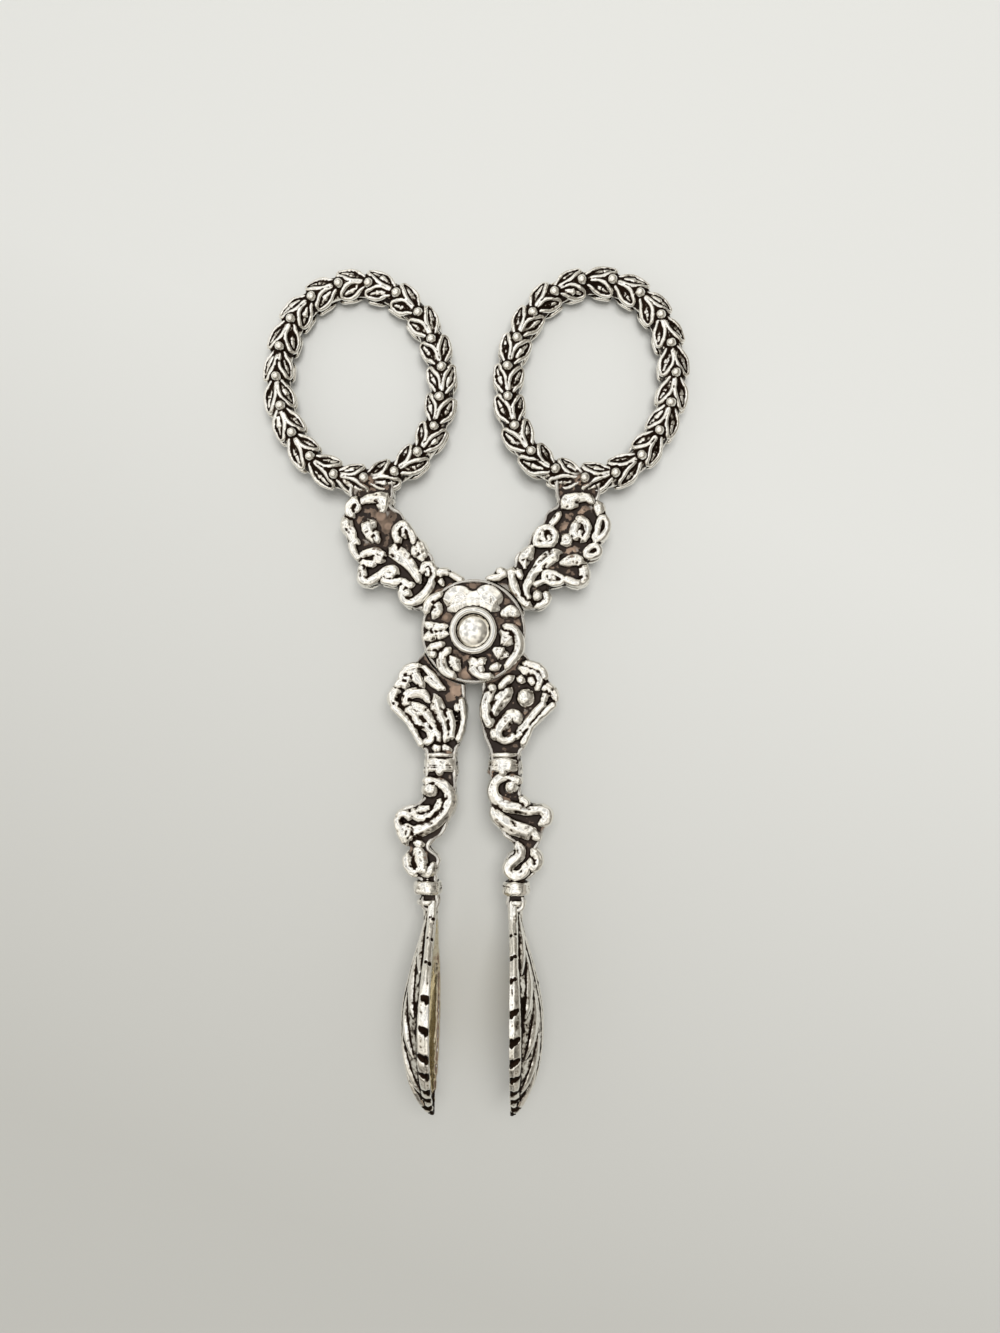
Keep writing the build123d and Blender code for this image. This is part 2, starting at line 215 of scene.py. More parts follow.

# %% [markdown]
# ## Finishes
#
# The nips are sterling silver. After casting, the silversmith dips the ornament in liver of
# sulphur, which turns it brown-black, and then polishes the high points bright again. So one
# finish shows several tones: near-white silver on crowns, grey-brown where the polish thins
# out, a warm tan film on the open ground, black in grooves and pits, and pale gold on the
# bowls' polished insides. Two numbers stored on each vertex steer it: "oxide" says how deep
# in a hollow the vertex is, and "film" is 0 on silver, over 0.5 on tan and over 1 in a bowl.
# An ambient occlusion node could find the hollows too, but numbers on the vertices are
# quicker, don't change with the pose, and can be set one by one where wear is uneven.

# %% Oxidised cast silver
# Silver: a metal, so metallic 1 and the default IOR. The polish leaves it almost mirror
# bright. Oxide is a dull, near-black skin. A casting pit is about half a millimetre wide, and
# a cloud of uneven polish about two.
pit_scale, cloud_scale = 1900.0, 520.0
aged_silver, tree = new_material("oxidised_cast_silver")
place = add_node(tree, "TexCoord").outputs["Object"]
oxide = add_node(tree, "Attribute", {"attribute_name": "oxide"}).outputs["Fac"]
film = add_node(tree, "Attribute", {"attribute_name": "film"}).outputs["Fac"]
pits = add_node(
    tree, "TexNoise", {"Scale": pit_scale, "Detail": 3.0, "Roughness": 0.55}, {"Vector": place}
)
clouds = add_node(
    tree, "TexNoise", {"Scale": cloud_scale, "Detail": 2.0, "Roughness": 0.5}, {"Vector": place}
)
pit_level = add_node(tree, "Math", {"operation": "MULTIPLY_ADD", 1: 0.86, 2: -0.43}, {0: pits})
cloud_level = add_node(tree, "Math", {"operation": "MULTIPLY_ADD", 1: 0.80, 2: -0.40}, {0: clouds})
patches = add_node(tree, "Math", {"operation": "ADD"}, {0: pit_level, 1: cloud_level})
level = add_node(tree, "Math", {"operation": "ADD"}, {0: patches, 1: oxide})
black = add_node(
    tree,
    "MapRange",
    {"interpolation_type": "SMOOTHSTEP", "From Min": 0.50, "From Max": 0.60},
    {"Value": level},
)
fringe = add_node(
    tree,
    "MapRange",
    {"interpolation_type": "SMOOTHSTEP", "From Min": 0.34, "From Max": 0.56, "To Max": 0.85},
    {"Value": level},
)
silver = add_node(
    tree, "Mix", {"data_type": "RGBA", 6: linear("#F5F2EA"), 7: linear("#877A68")}, {0: fringe}
)
film_level = add_node(tree, "Math", {"operation": "ADD"}, {0: cloud_level, 1: film})
film_tone = add_node(tree, "ValToRGB", links={0: film_level})
set_ramp(film_tone, [(0.35, "#4E4034"), (0.85, "#A88F7B"), (1.0, "#DDD4BC")])
film_share = add_node(tree, "MapRange", {"From Max": 0.45}, {"Value": film})
filmed = add_node(
    tree, "Mix", {"data_type": "RGBA"}, {0: film_share, 6: silver.outputs[2], 7: film_tone}
)
black_tone = add_node(
    tree, "Mix", {"data_type": "RGBA", 6: linear("#32241A"), 7: linear("#130D09")}, {0: clouds}
)
coloured = add_node(
    tree, "Mix", {"data_type": "RGBA"}, {0: black, 6: filmed.outputs[2], 7: black_tone.outputs[2]}
)
tan_dullness = add_node(tree, "Math", {"operation": "MULTIPLY", 1: 0.8}, {0: film_share})
bowl_polish = add_node(
    tree, "MapRange", {"From Min": 0.85, "From Max": 1.10, "To Max": 0.78}, {"Value": film}
)
dull_film = add_node(tree, "Math", {"operation": "SUBTRACT"}, {0: tan_dullness, 1: bowl_polish})
dull = add_node(tree, "Math", {"operation": "MAXIMUM"}, {0: black, 1: dull_film})
gloss = add_node(tree, "MapRange", {"To Min": 0.12, "To Max": 0.50}, {"Value": dull})
metal = add_node(tree, "MapRange", {"To Min": 1.0, "To Max": 0.2}, {"Value": dull_film})
dents = add_node(tree, "Bump", {"Strength": 0.24, "Distance": 0.00012}, {"Height": cloud_level})
aged = add_node(
    tree,
    "BsdfPrincipled",
    None,
    {"Base Color": coloured.outputs[2], "Metallic": metal, "Roughness": gloss, "Normal": dents},
)
add_node(tree, "OutputMaterial", links={0: aged})
print(aged_silver.name, "has", len(tree.nodes), "nodes")

# %% Polished silver
# The same silver without oxide, polished and then worn by use: soft unevenness and a faint
# warm tarnish, in clouds of about a millimetre and a half.
wear_scale = 700.0
bright_silver, tree = new_material("polished_silver")
place = add_node(tree, "TexCoord").outputs["Object"]
wear = add_node(tree, "TexNoise", {"Scale": wear_scale, "Detail": 2.0}, {"Vector": place})
tarnish = add_node(
    tree, "Mix", {"data_type": "RGBA", 6: linear("#F6F4EF"), 7: linear("#F0ECE2")}, {0: wear}
)
wear_gloss = add_node(tree, "MapRange", {"To Min": 0.04, "To Max": 0.14}, {"Value": wear})
wear_bump = add_node(tree, "Bump", {"Strength": 0.04, "Distance": 0.00008}, {"Height": wear})
bright = add_node(
    tree,
    "BsdfPrincipled",
    {"Metallic": 1.0},
    {"Base Color": tarnish.outputs[2], "Roughness": wear_gloss, "Normal": wear_bump},
)
add_node(tree, "OutputMaterial", links={0: bright})
print(bright_silver.name, "has", len(tree.nodes), "nodes")

# %% [markdown]
# ## Tools of the mould maker
#
# The wax model of such ornament is drawn with rolls and balls of wax laid on a blank and
# pressed together. The same works here. A stroke is a tapered roll along traced points, each
# with its own radius in millimetres. A voxel remesh melts strokes, balls and blank into one
# skin, and smoothing rounds it as casting and polish do. Sculpting by hand would do as
# well, but a traced stroke can be moved and measured, and the same script gives it again.


# %% Selecting, joining and moving
def select_only(*pieces):
    """Selects these objects alone. The first one is active."""
    bpy.ops.object.select_all(action="DESELECT")
    for piece in pieces:
        piece.select_set(True)
    bpy.context.view_layer.objects.active = pieces[0]


def join(name, *pieces):
    """Makes these objects one, with this name."""
    select_only(*pieces)
    bpy.ops.object.join()
    pieces[0].name = name
    return pieces[0]


def apply_place(piece, matrix):
    """Moves a piece by this matrix and keeps the move in its mesh."""
    piece.matrix_world = matrix
    select_only(piece)
    bpy.ops.object.transform_apply(location=True, rotation=True, scale=True)


def vertex_arrays(mesh):
    """The places and the normals of a mesh's vertices, one row for each."""
    points, normals = np.empty((2, len(mesh.vertices) * 3))
    mesh.vertices.foreach_get("co", points)
    mesh.vertices.foreach_get("normal", normals)
    return points.reshape(-1, 3), normals.reshape(-1, 3)


def move_vertices(mesh, points):
    """Puts a mesh's vertices at these places."""
    mesh.vertices.foreach_set("co", points.ravel())
    mesh.update()


def clean_skin(piece, merge=None, outward=True):
    """Merges points nearer than this, drops loose ones and turns the faces outwards."""
    select_only(piece)
    bpy.ops.object.mode_set(mode="EDIT")
    bpy.ops.mesh.select_all(action="SELECT")
    if merge:
        bpy.ops.mesh.remove_doubles(threshold=merge)
        bpy.ops.mesh.delete_loose(use_verts=True, use_edges=True, use_faces=False)
        bpy.ops.mesh.select_all(action="SELECT")
    if outward:
        bpy.ops.mesh.normals_make_consistent(inside=False)
    bpy.ops.object.mode_set(mode="OBJECT")


# %% Strokes and balls of wax
def crown_lift(radius):
    """How far a stroke's middle lies over its floor: thin ones sink in, thick ones too."""
    return min(0.6 * radius, 0.45 - 0.25 * radius, 0.82 - radius)


def rounded(stroke):
    """Adds a small point beyond each end, so that a stroke ends like a worn roll."""
    ends = []
    for first, second in ((stroke[0], stroke[1]), (stroke[-1], stroke[-2])):
        run = Vector(first[:3]) - Vector(second[:3])
        tip = Vector(first[:3]) + run.normalized() * first[3] * 0.8
        ends.append((*tip, first[3] * 0.3))
    return [ends[0]] + list(stroke) + [ends[1]]


def wax_rolls(name, strokes, closed=False):
    """Rolls along (x, y, z, radius) points, as one mesh."""
    curve = bpy.data.curves.new(name, "CURVE")
    curve.dimensions = "3D"
    curve.bevel_depth = 1.0
    curve.bevel_resolution = 2
    curve.resolution_u = 5
    curve.use_fill_caps = True
    for stroke in strokes:
        points = stroke if closed else rounded(stroke)
        spline = curve.splines.new("BEZIER")
        spline.bezier_points.add(len(points) - 1)
        spline.use_cyclic_u = closed
        for handle, (x, y, z, radius) in zip(spline.bezier_points, points):
            handle.co = (x, y, z)
            handle.radius = radius
            handle.handle_left_type = handle.handle_right_type = "AUTO"
    select_only(add_object(name, curve))
    bpy.ops.object.convert(target="MESH")
    return bpy.context.object


def laid_on(floor_height, strokes, faces=(1, -1), swell=1.0):
    """Flat (x, y, radius) strokes laid on a blank's faces as (x, y, z, radius) strokes.

    Melting and smoothing thin a stroke, so each is made a little thicker first.
    """
    allowance, thickest = 0.17, 1.5
    laid = []
    for face in faces:
        for stroke in strokes:
            wide = [(x, y, min(thickest, r * swell + allowance)) for x, y, r in stroke]
            laid.append([(x, y, face * (floor_height + crown_lift(r)), r) for x, y, r in wide])
    return laid


def wax_balls(balls):
    """One ball for each (x, y, z, radius)."""
    made = []
    for *centre, radius in balls:
        bpy.ops.mesh.primitive_uv_sphere_add(
            segments=20, ring_count=12, radius=radius, location=centre
        )
        made.append(bpy.context.object)
    return made


def pressed(piece, floor_height, share=0.85):
    """Presses what stands over the floor flatter, as a spatula does with soft wax."""
    points, _ = vertex_arrays(piece.data)
    over = (np.abs(points[:, 2]) - floor_height).clip(0)
    points[:, 2] -= np.sign(points[:, 2]) * over * (1 - share)
    move_vertices(piece.data, points)
    return piece


# %% Blanks and turned shapes
def blank(name, outline, thickness):
    """A flat plate with this outline, lying in the middle plane."""
    curve = bpy.data.curves.new(name, "CURVE")
    curve.dimensions = "2D"
    curve.fill_mode = "BOTH"
    curve.extrude = thickness / 2
    spline = curve.splines.new("POLY")
    spline.points.add(len(outline) - 1)
    spline.use_cyclic_u = True
    for point, (x, y) in zip(spline.points, outline):
        point.co = (x, y, 0, 1)
    select_only(add_object(name, curve))
    bpy.ops.object.convert(target="MESH")
    plate = bpy.context.object
    clean_skin(plate, merge=0.001)
    return plate


def lathe(name, profile):
    """A closed (radius, height) profile spun round the Z axis."""
    mesh = bpy.data.meshes.new(name)
    count = len(profile)
    mesh.from_pydata(
        [(r, 0, z) for r, z in profile], [(i, (i + 1) % count) for i in range(count)], []
    )
    piece = add_object(name, mesh)
    select_only(piece)
    bpy.ops.object.mode_set(mode="EDIT")
    bpy.ops.mesh.select_all(action="SELECT")
    bpy.ops.mesh.spin(steps=120, angle=2 * pi, center=(0, 0, 0), axis=(0, 0, 1))
    bpy.ops.object.mode_set(mode="OBJECT")
    clean_skin(piece, merge=0.0005)
    return piece


# %% Melting, hammering and sawing
def apply_modifier(piece, kind, settings):
    """Adds a modifier with these settings and applies it."""
    select_only(piece)
    modifier = piece.modifiers.new(kind.lower(), kind)
    for name, value in settings.items():
        setattr(modifier, name, value)
    bpy.ops.object.modifier_apply(modifier=modifier.name)


def melt(piece, voxel=0.15):
    """Remeshes all the wax of a piece into one skin and rounds it."""
    select_only(piece)
    piece.data.remesh_voxel_size = voxel
    piece.data.remesh_voxel_adaptivity = 0
    bpy.ops.object.voxel_remesh()
    apply_modifier(piece, "SMOOTH", {"factor": 0.5, "iterations": 2})


def hammer(piece, grain, depth):
    """The slight unevenness of a casting: a cloud pattern presses the skin in and out."""
    clouds = bpy.data.textures.new(piece.name + "_grain", "CLOUDS")
    clouds.noise_scale = grain
    clouds.noise_depth = 2
    apply_modifier(
        piece,
        "DISPLACE",
        {"texture": clouds, "texture_coords": "LOCAL", "strength": depth, "mid_level": 0.5},
    )


def cut_away(piece, cutter):
    """Saws the cutter's shape out of a piece."""
    apply_modifier(
        piece, "BOOLEAN", {"operation": "DIFFERENCE", "solver": "MANIFOLD", "object": cutter}
    )
    bpy.data.objects.remove(cutter)
    print(piece.name, "after the saw:", len(piece.data.vertices), "vertices")


def punch(piece, pits):
    """Presses small pits, (x, y, z, radius), into the skin."""
    points, normals = vertex_arrays(piece.data)
    for *centre, radius in pits:
        away = np.linalg.norm(points - centre, axis=1) / radius
        points -= normals * (0.45 * radius * (1 - away).clip(0, 1))[:, None]
    move_vertices(piece.data, points)


# %% Reading the hollows
flat_depth, groove_weight, valley_weight = 0.36, 6.2, 2.0


def blurred(points, edges, rounds):
    """The points after each has moved halfway to its neighbours' middle, so many rounds."""
    count = len(points)
    degree = np.bincount(edges.ravel(), minlength=count)[:, None].clip(1)
    for _ in range(rounds):
        total = np.stack(
            [
                np.bincount(edges[:, 0], points[edges[:, 1], axis], count)
                + np.bincount(edges[:, 1], points[edges[:, 0], axis], count)
                for axis in range(3)
            ],
            axis=1,
        )
        points = 0.5 * points + 0.5 * total / degree
    return points


def nearness(points, centre, reach):
    """1 at the centre, falling to 0 at this reach and below it beyond."""
    return 1 - np.linalg.norm(points - centre, axis=1) / reach


def paint_number(mesh, name, values):
    """Stores one number on each vertex, under this name."""
    layer = mesh.attributes.new(name, "FLOAT", "POINT")
    layer.data.foreach_set("value", np.asarray(values, np.float32))


def stain(piece, floor_height=None, inside=None, film_spots=(), pits=(), rubbed=(), more=0.0):
    """Stores oxide and film on each vertex, from how deep in a hollow it lies.

    The blurred skin lies outside the real one in a hollow: 6 rounds show the narrow grooves
    and 40 the wide valleys. Black starts at a depth of about 0.5.
    """
    mesh = piece.data
    points, normals = vertex_arrays(mesh)
    edges = np.empty(len(mesh.edges) * 2, np.int64)
    mesh.edges.foreach_get("vertices", edges)
    edges = edges.reshape(-1, 2)
    groove = ((blurred(points, edges, 6) - points) * normals).sum(1)
    valley = ((blurred(points, edges, 40) - points) * normals).sum(1)
    depth = flat_depth + more + groove_weight * groove + valley_weight * valley
    film, ground = np.zeros((2, len(points)))
    if floor_height is not None:
        height = np.abs(points[:, 2]) - floor_height
        level = ((np.abs(normals[:, 2]) - 0.6) / 0.3).clip(0, 1)
        ground = ((0.30 - height) / 0.3).clip(0, 1) * level
        depth -= 0.05 * ground
        depth -= 0.15 * ((height - 0.50) / 0.30).clip(0, 1)
        film = 0.52 * ground
    for x, y, reach in film_spots:
        tan = 0.72 * (nearness(points[:, :2], (x, y), reach) * 1.8).clip(0, 1) * (depth > 0.24)
        film = np.maximum(film, tan)
        depth -= 0.30 * tan
    for *centre, reach in rubbed:
        depth -= 0.20 * (nearness(points, centre, reach) * 2.5).clip(0, 1) * (1 - ground)
    for *centre, radius in pits:
        depth += 0.8 * (0.15 + nearness(points, centre, radius)).clip(0, 1)
    if inside is not None:
        hollow = inside(points, normals)
        depth *= 1 - 0.7 * hollow
        film = 1.15 * hollow
    paint_number(mesh, "oxide", depth.clip(0, 1))
    paint_number(mesh, "film", film)
    print(piece.name, "has", len(points), "vertices, mean oxide", round(float(depth.mean()), 3))


# %% Where the arms meet
closing = radians(8.0)
clearance = 0.05


def wear_where_arms_meet(piece, hand):
    """Wears a piece flat at the plane where both arms meet when the nips close.

    Hand is -1 for a piece left of that plane and 1 for one right of it.
    """
    points, _ = vertex_arrays(piece.data)
    across, along = cos(closing / 2), sin(closing / 2)
    worn = (clearance - hand * points[:, 0] * across + np.abs(points[:, 1]) * along).clip(0)
    points[:, 0] += hand * worn * across
    points[:, 1] -= np.sign(points[:, 1]) * worn * along
    move_vertices(piece.data, points)
    print(piece.name, "is worn by", round(float(worn.max()), 2), "mm where the arms meet")


# %% Laying a finished piece in its place
table_gap = 0.00001


def finish_piece(piece, node):
    """Lays a piece down where its node is, gives it its finish and hides the node.

    What would sink into the table is worn flat.
    """
    apply_place(piece, lay_down)
    points, _ = vertex_arrays(piece.data)
    points[:, 2] = points[:, 2].clip(table_gap)
    move_vertices(piece.data, points)
    bpy.ops.object.shade_smooth()
    piece.data.materials.clear()
    piece.data.materials.append(aged_silver)
    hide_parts(node)
    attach(piece, "front_arm" if node.startswith("front") else "back_arm")


# %% [markdown]
# ## Finger rings
#
# Each ring is an oval wire wrapped in a laurel wreath: nineteen times a berry, with two
# boat-shaped leaves that spread from it and reach the next berry. The leaves have raised
# rims, and their middles are sunk or worn almost level. One unit of the wreath is modelled
# and set round the oval on both faces. An array modifier could repeat it, but then all
# leaves would be alike, so each unit has a little chance in it instead.

# %% The oval of four arcs
ring_length, ring_width, end_radius = 28.8, 23.6, 10.6
ring_units = 19


def oval_line():
    """Close points along the ring's centre line, and the way walked to each."""
    end_centre = ring_length / 2 - end_radius
    half = ring_width / 2
    side_radius = (end_centre**2 + half**2 - end_radius**2) / (2 * (half - end_radius))
    side_centre = side_radius - half
    meet = atan2(end_centre, side_centre)
    arcs = [
        (-side_centre, 0, side_radius, 0, meet),
        (0, end_centre, end_radius, meet, pi - meet),
        (side_centre, 0, side_radius, pi - meet, pi + meet),
        (0, -end_centre, end_radius, pi + meet, 2 * pi - meet),
        (-side_centre, 0, side_radius, -meet, 0),
    ]
    line = [
        (x + radius * cos(angle), y + radius * sin(angle))
        for x, y, radius, start, end in arcs
        for angle in np.linspace(start, end, 200, endpoint=False)
    ]
    line = np.array(line + line[:1])
    walked = np.concatenate([[0], np.cumsum(np.linalg.norm(np.diff(line, axis=0), axis=1))])
    return line, walked


oval, walked = oval_line()
oval_length = walked[-1]
print("the wreath's line is", round(float(oval_length), 2), "mm round")


def on_oval(way, across=0.0):
    """The point so far along the oval and so far inwards of it."""
    (x, y), (next_x, next_y) = (
        [np.interp((way + step) % oval_length, walked, oval[:, axis]) for axis in (0, 1)]
        for step in (0, 0.1)
    )
    run_x, run_y = next_x - x, next_y - y
    size = hypot(run_x, run_y)
    return x - across * run_y / size, y + across * run_x / size


# %% One unit of the wreath
section_across, section_deep = 2.12, 1.36
# A leaf's rim, from its base round to its base again: share of its length, half width,
# how proud it stands and its thickness.
leaf_rim = [
    (0.00, 0.00, 0.02, 0.22), (0.22, 0.54, 0.10, 0.29), (0.48, 0.83, 0.14, 0.36),
    (0.76, 0.60, 0.14, 0.38), (1.00, 0.00, 0.10, 0.30), (0.76, -0.54, 0.16, 0.36),
    (0.48, -0.76, 0.16, 0.33), (0.22, -0.50, 0.10, 0.27),
]  # fmt: skip


def on_section(along, across, proud, radius):
    """A point on the ring's oval section, so far along and across it."""
    share = max(-0.97, min(0.97, across / section_across))
    return (along, across, (section_deep + proud) * sqrt(1 - share**2), radius)


def wreath_unit(chance):
    """The two leaves that follow a berry on the upper face, along +X."""
    rims, rolls = [], []
    for side in (1, -1):
        base = Vector((0.6, 0.38))
        tip = Vector((4.5 * chance.uniform(0.92, 1.06), 1.72 + chance.uniform(-0.14, 0.10)))
        run = tip - base
        out = Vector((-run.y, run.x)).normalized()

        def on_leaf(share, aside, proud, radius):
            place = base + run * share + out * aside
            return on_section(place.x, side * place.y, proud, radius)

        wide = chance.uniform(0.86, 1.10)
        rims.append([on_leaf(share, half * wide, *rest) for share, half, *rest in leaf_rim])
        rolls.append([on_leaf(0.62, 0.0, -0.18, 0.42), on_leaf(0.84, 0.0, -0.14, 0.34)])
        sunk = -0.18 if chance.random() < 0.35 else -0.48
        rolls.append([on_leaf(0.22, 0.0, sunk, 0.42), on_leaf(0.55, 0.0, sunk, 0.60)])
        if chance.random() < 0.6:
            lean = chance.uniform(-0.15, 0.15)
            vein = (0.10, 0.0, -0.10, 0.15), (0.36, lean, -0.04, 0.19), (0.62, lean, 0.0, 0.18)
            rolls.append([on_leaf(*point) for point in vein])
    return rims, rolls


def round_oval(strokes, start, face):
    """Strokes bent along the oval from a start, on either face."""
    return [
        [(*on_oval(start + along, across), face * z, radius) for along, across, z, radius in stroke]
        for stroke in strokes
    ]


# %% Build both rings
ring_middle, ring_turn = (16.575, 36.240), 8
wire_radius, berry_radius, berry_height = 1.70, 0.74, 1.48


def finger_ring(node, side, seed):
    """Side is -1 for the left ring and 1 for the right one, its mirror image."""
    chance = random.Random(seed)
    rims, rolls, balls = [], [], []
    for start in np.arange(ring_units) * oval_length / ring_units:
        for face in (1, -1):
            unit_rims, unit_rolls = wreath_unit(chance)
            rims += round_oval(unit_rims, start, face)
            rolls += round_oval(unit_rolls, start, face)
            berry = on_oval(start, chance.uniform(-0.2, 0.2))
            balls.append((*berry, face * berry_height, berry_radius))
    ways = np.linspace(0, oval_length, 60, endpoint=False)
    wire = [(*on_oval(way), 0, wire_radius) for way in ways]
    foot_y = -ring_length / 2 - 0.6
    foot = [(-1.1, foot_y, 0, 1.15), (0, foot_y - 0.4, 0, 1.2), (1.1, foot_y, 0, 1.15)]
    ring = join(
        node + "_cast",
        wax_rolls("wire", [wire], closed=True),
        wax_rolls("rims", rims, closed=True),
        wax_rolls("leaves", rolls),
        *wax_balls(balls),
        wax_rolls("foot", [foot]),
    )
    place = Matrix.Translation((side * ring_middle[0], ring_middle[1], 0))
    place = place @ Matrix.Rotation(radians(-ring_turn * side), 4, "Z")
    if side > 0:
        place = place @ Matrix.Scale(-1, 4, (1, 0, 0))
    apply_place(ring, place)
    if side > 0:
        clean_skin(ring)
    melt(ring)
    hammer(ring, 1.2, 0.16)
    wear_where_arms_meet(ring, side)
    stain(ring, film_spots=[(side * 15.2, 21.2, 1.6)], more=0.14)
    finish_piece(ring, node)


finger_ring("front_finger_ring", -1, 11)
finger_ring("back_finger_ring", 1, 23)

# %% [markdown]
# ## Handles
#
# A handle is a flat acanthus plate from the boss up to the ring. On its dark ground lie
# balls, curled leaves with raised rims and one long C-scroll next to the boss. Both handles
# come from one mould, but chasing and wear made them differ, so each has its own strokes,
# traced in millimetres from the pivot. A thin bead along the edge catches the light where
# fingers have rubbed the real one bright. A displacement map could raise such relief, but
# rolls of wax give round crowns and steep sides, as on the real casting.

# %% The handles' outline
handle_outline = [
    (-17.0, 22.1), (-17.8, 19.7), (-17.3, 18.1), (-18.9, 16.0), (-18.1, 13.3), (-17.3, 11.4),
    (-15.9, 10.1), (-16.4, 8.1), (-15.4, 6.6), (-13.0, 7.1), (-10.7, 6.4), (-10.5, 4.6),
    (-8.6, 3.3), (-6.5, 3.0), (-4.9, 1.5), (-0.8, 3.7), (-0.9, 5.5), (-1.8, 7.1), (-3.4, 8.7),
    (-5.5, 9.0), (-6.0, 10.9), (-7.4, 11.8), (-8.2, 13.9), (-9.6, 14.8), (-10.2, 16.8),
    (-11.8, 18.0), (-11.5, 19.9), (-12.0, 22.1),
]  # fmt: skip
print("handle outline:", len(handle_outline), "corners")

# %% Strokes of the left handle
left_handle_rolls = [
    [(-16.1, 18.5, 0.3), (-14.9, 18.9, 0.55), (-13.6, 18.9, 0.85), (-12.5, 18.7, 0.9)],
    [(-13.1, 18.3, 0.85), (-13.1, 17.7, 0.65)],
    [(-17.0, 18.8, 0.4), (-17.7, 17.9, 0.45), (-17.7, 17.0, 0.45), (-17.2, 16.4, 0.3)],
    [(-16.9, 18.6, 0.35), (-16.5, 17.9, 0.3), (-16.7, 17.2, 0.25)],
    [(-18.0, 15.8, 0.7), (-17.9, 15.0, 0.75), (-17.4, 14.0, 0.6), (-17.0, 13.0, 0.45),
     (-16.5, 12.6, 0.3)],
    [(-17.3, 12.6, 0.3), (-17.0, 11.5, 0.3), (-16.3, 10.3, 0.25)],
    [(-15.0, 15.4, 1.1), (-14.8, 14.4, 1.1), (-14.4, 13.5, 0.75)],
    [(-13.9, 14.0, 0.4), (-13.6, 12.9, 0.3)],
    [(-10.1, 15.4, 0.4), (-10.8, 14.6, 0.6), (-11.0, 13.7, 0.55), (-10.6, 12.8, 0.4)],
    [(-10.0, 15.3, 0.4), (-9.2, 14.3, 0.45), (-8.7, 13.3, 0.4), (-8.6, 12.7, 0.3)],
    [(-10.0, 14.5, 0.5), (-9.8, 13.6, 0.45)],
    [(-7.9, 12.4, 0.7), (-7.6, 11.3, 0.85), (-7.2, 10.4, 0.6)],
    [(-8.4, 11.9, 0.35), (-8.3, 10.9, 0.3)],
    [(-11.6, 11.6, 1.1), (-10.6, 11.0, 1.1), (-9.8, 10.3, 0.9), (-9.2, 9.6, 0.7), (-8.5, 8.7, 0.55),
     (-8.0, 7.9, 0.45), (-7.6, 7.0, 0.3)],
    [(-15.9, 10.7, 0.4), (-14.9, 11.2, 0.45), (-13.7, 11.3, 0.45), (-12.7, 10.9, 0.35)],
    [(-15.8, 9.8, 0.4), (-14.9, 9.6, 0.4), (-14.2, 9.5, 0.35)],
    [(-13.9, 10.3, 0.5), (-13.0, 10.1, 0.45)],
    [(-15.8, 9.2, 0.45), (-15.7, 8.2, 0.55), (-15.6, 7.4, 0.55), (-15.1, 6.9, 0.4)],
    [(-15.0, 6.9, 0.4), (-14.2, 7.4, 0.4), (-13.4, 7.9, 0.45)],
    [(-13.4, 7.9, 0.4), (-12.5, 8.6, 0.42), (-11.5, 8.8, 0.4), (-10.9, 8.4, 0.4)],
    [(-12.3, 7.8, 0.5), (-11.4, 7.8, 0.45)],
    [(-12.9, 7.3, 0.3), (-12.0, 7.1, 0.3), (-11.0, 7.0, 0.35), (-10.2, 7.2, 0.35)],
    [(-10.0, 7.0, 0.4), (-9.2, 6.5, 0.35), (-8.6, 6.6, 0.3)],
    [(-10.0, 6.4, 0.3), (-10.1, 5.3, 0.38), (-9.6, 4.4, 0.42), (-8.7, 4.1, 0.45), (-7.6, 4.7, 0.48),
     (-6.6, 5.8, 0.5), (-5.9, 7.2, 0.5), (-5.7, 8.4, 0.5), (-6.2, 9.3, 0.45), (-6.9, 9.5, 0.35)],
    [(-7.0, 9.3, 0.35), (-7.2, 8.4, 0.3)],
    [(-6.5, 8.8, 0.35), (-6.4, 7.9, 0.3)],
    [(-5.0, 8.0, 0.45), (-4.3, 8.4, 0.5), (-3.6, 8.3, 0.4)],
    [(-4.7, 7.2, 0.35), (-4.4, 6.7, 0.3)],
    [(-3.2, 8.1, 0.3), (-2.4, 7.6, 0.3), (-1.7, 7.2, 0.3)],
]  # fmt: skip
left_handle_balls = [(-9.4, 5.4, 0.9)]
left_handle_tan = [
    (-13.3, 16.5, 1.3), (-12.2, 15.0, 1.0), (-16.5, 15.8, 0.7), (-13.8, 12.0, 0.9),
    (-5.6, 5.4, 1.1), (-12.4, 9.4, 0.5),
]  # fmt: skip
left_handle_pits = [
    (-17.7, 15.2, 0.35), (-14.7, 15.9, 0.35), (-14.5, 13.3, 0.4), (-9.7, 13.9, 0.5),
    (-9.5, 13.0, 0.4), (-8.2, 11.3, 0.3), (-15.0, 10.4, 0.4), (-13.6, 10.8, 0.3), (-14.7, 8.6, 0.5),
    (-14.9, 7.8, 0.4), (-11.8, 7.45, 0.3), (-7.6, 12.2, 0.25), (-13.9, 14.9, 0.2),
    (-16.9, 17.4, 0.4),
]  # fmt: skip
print("left handle:", len(left_handle_rolls), "rolls and", len(left_handle_pits), "pits")

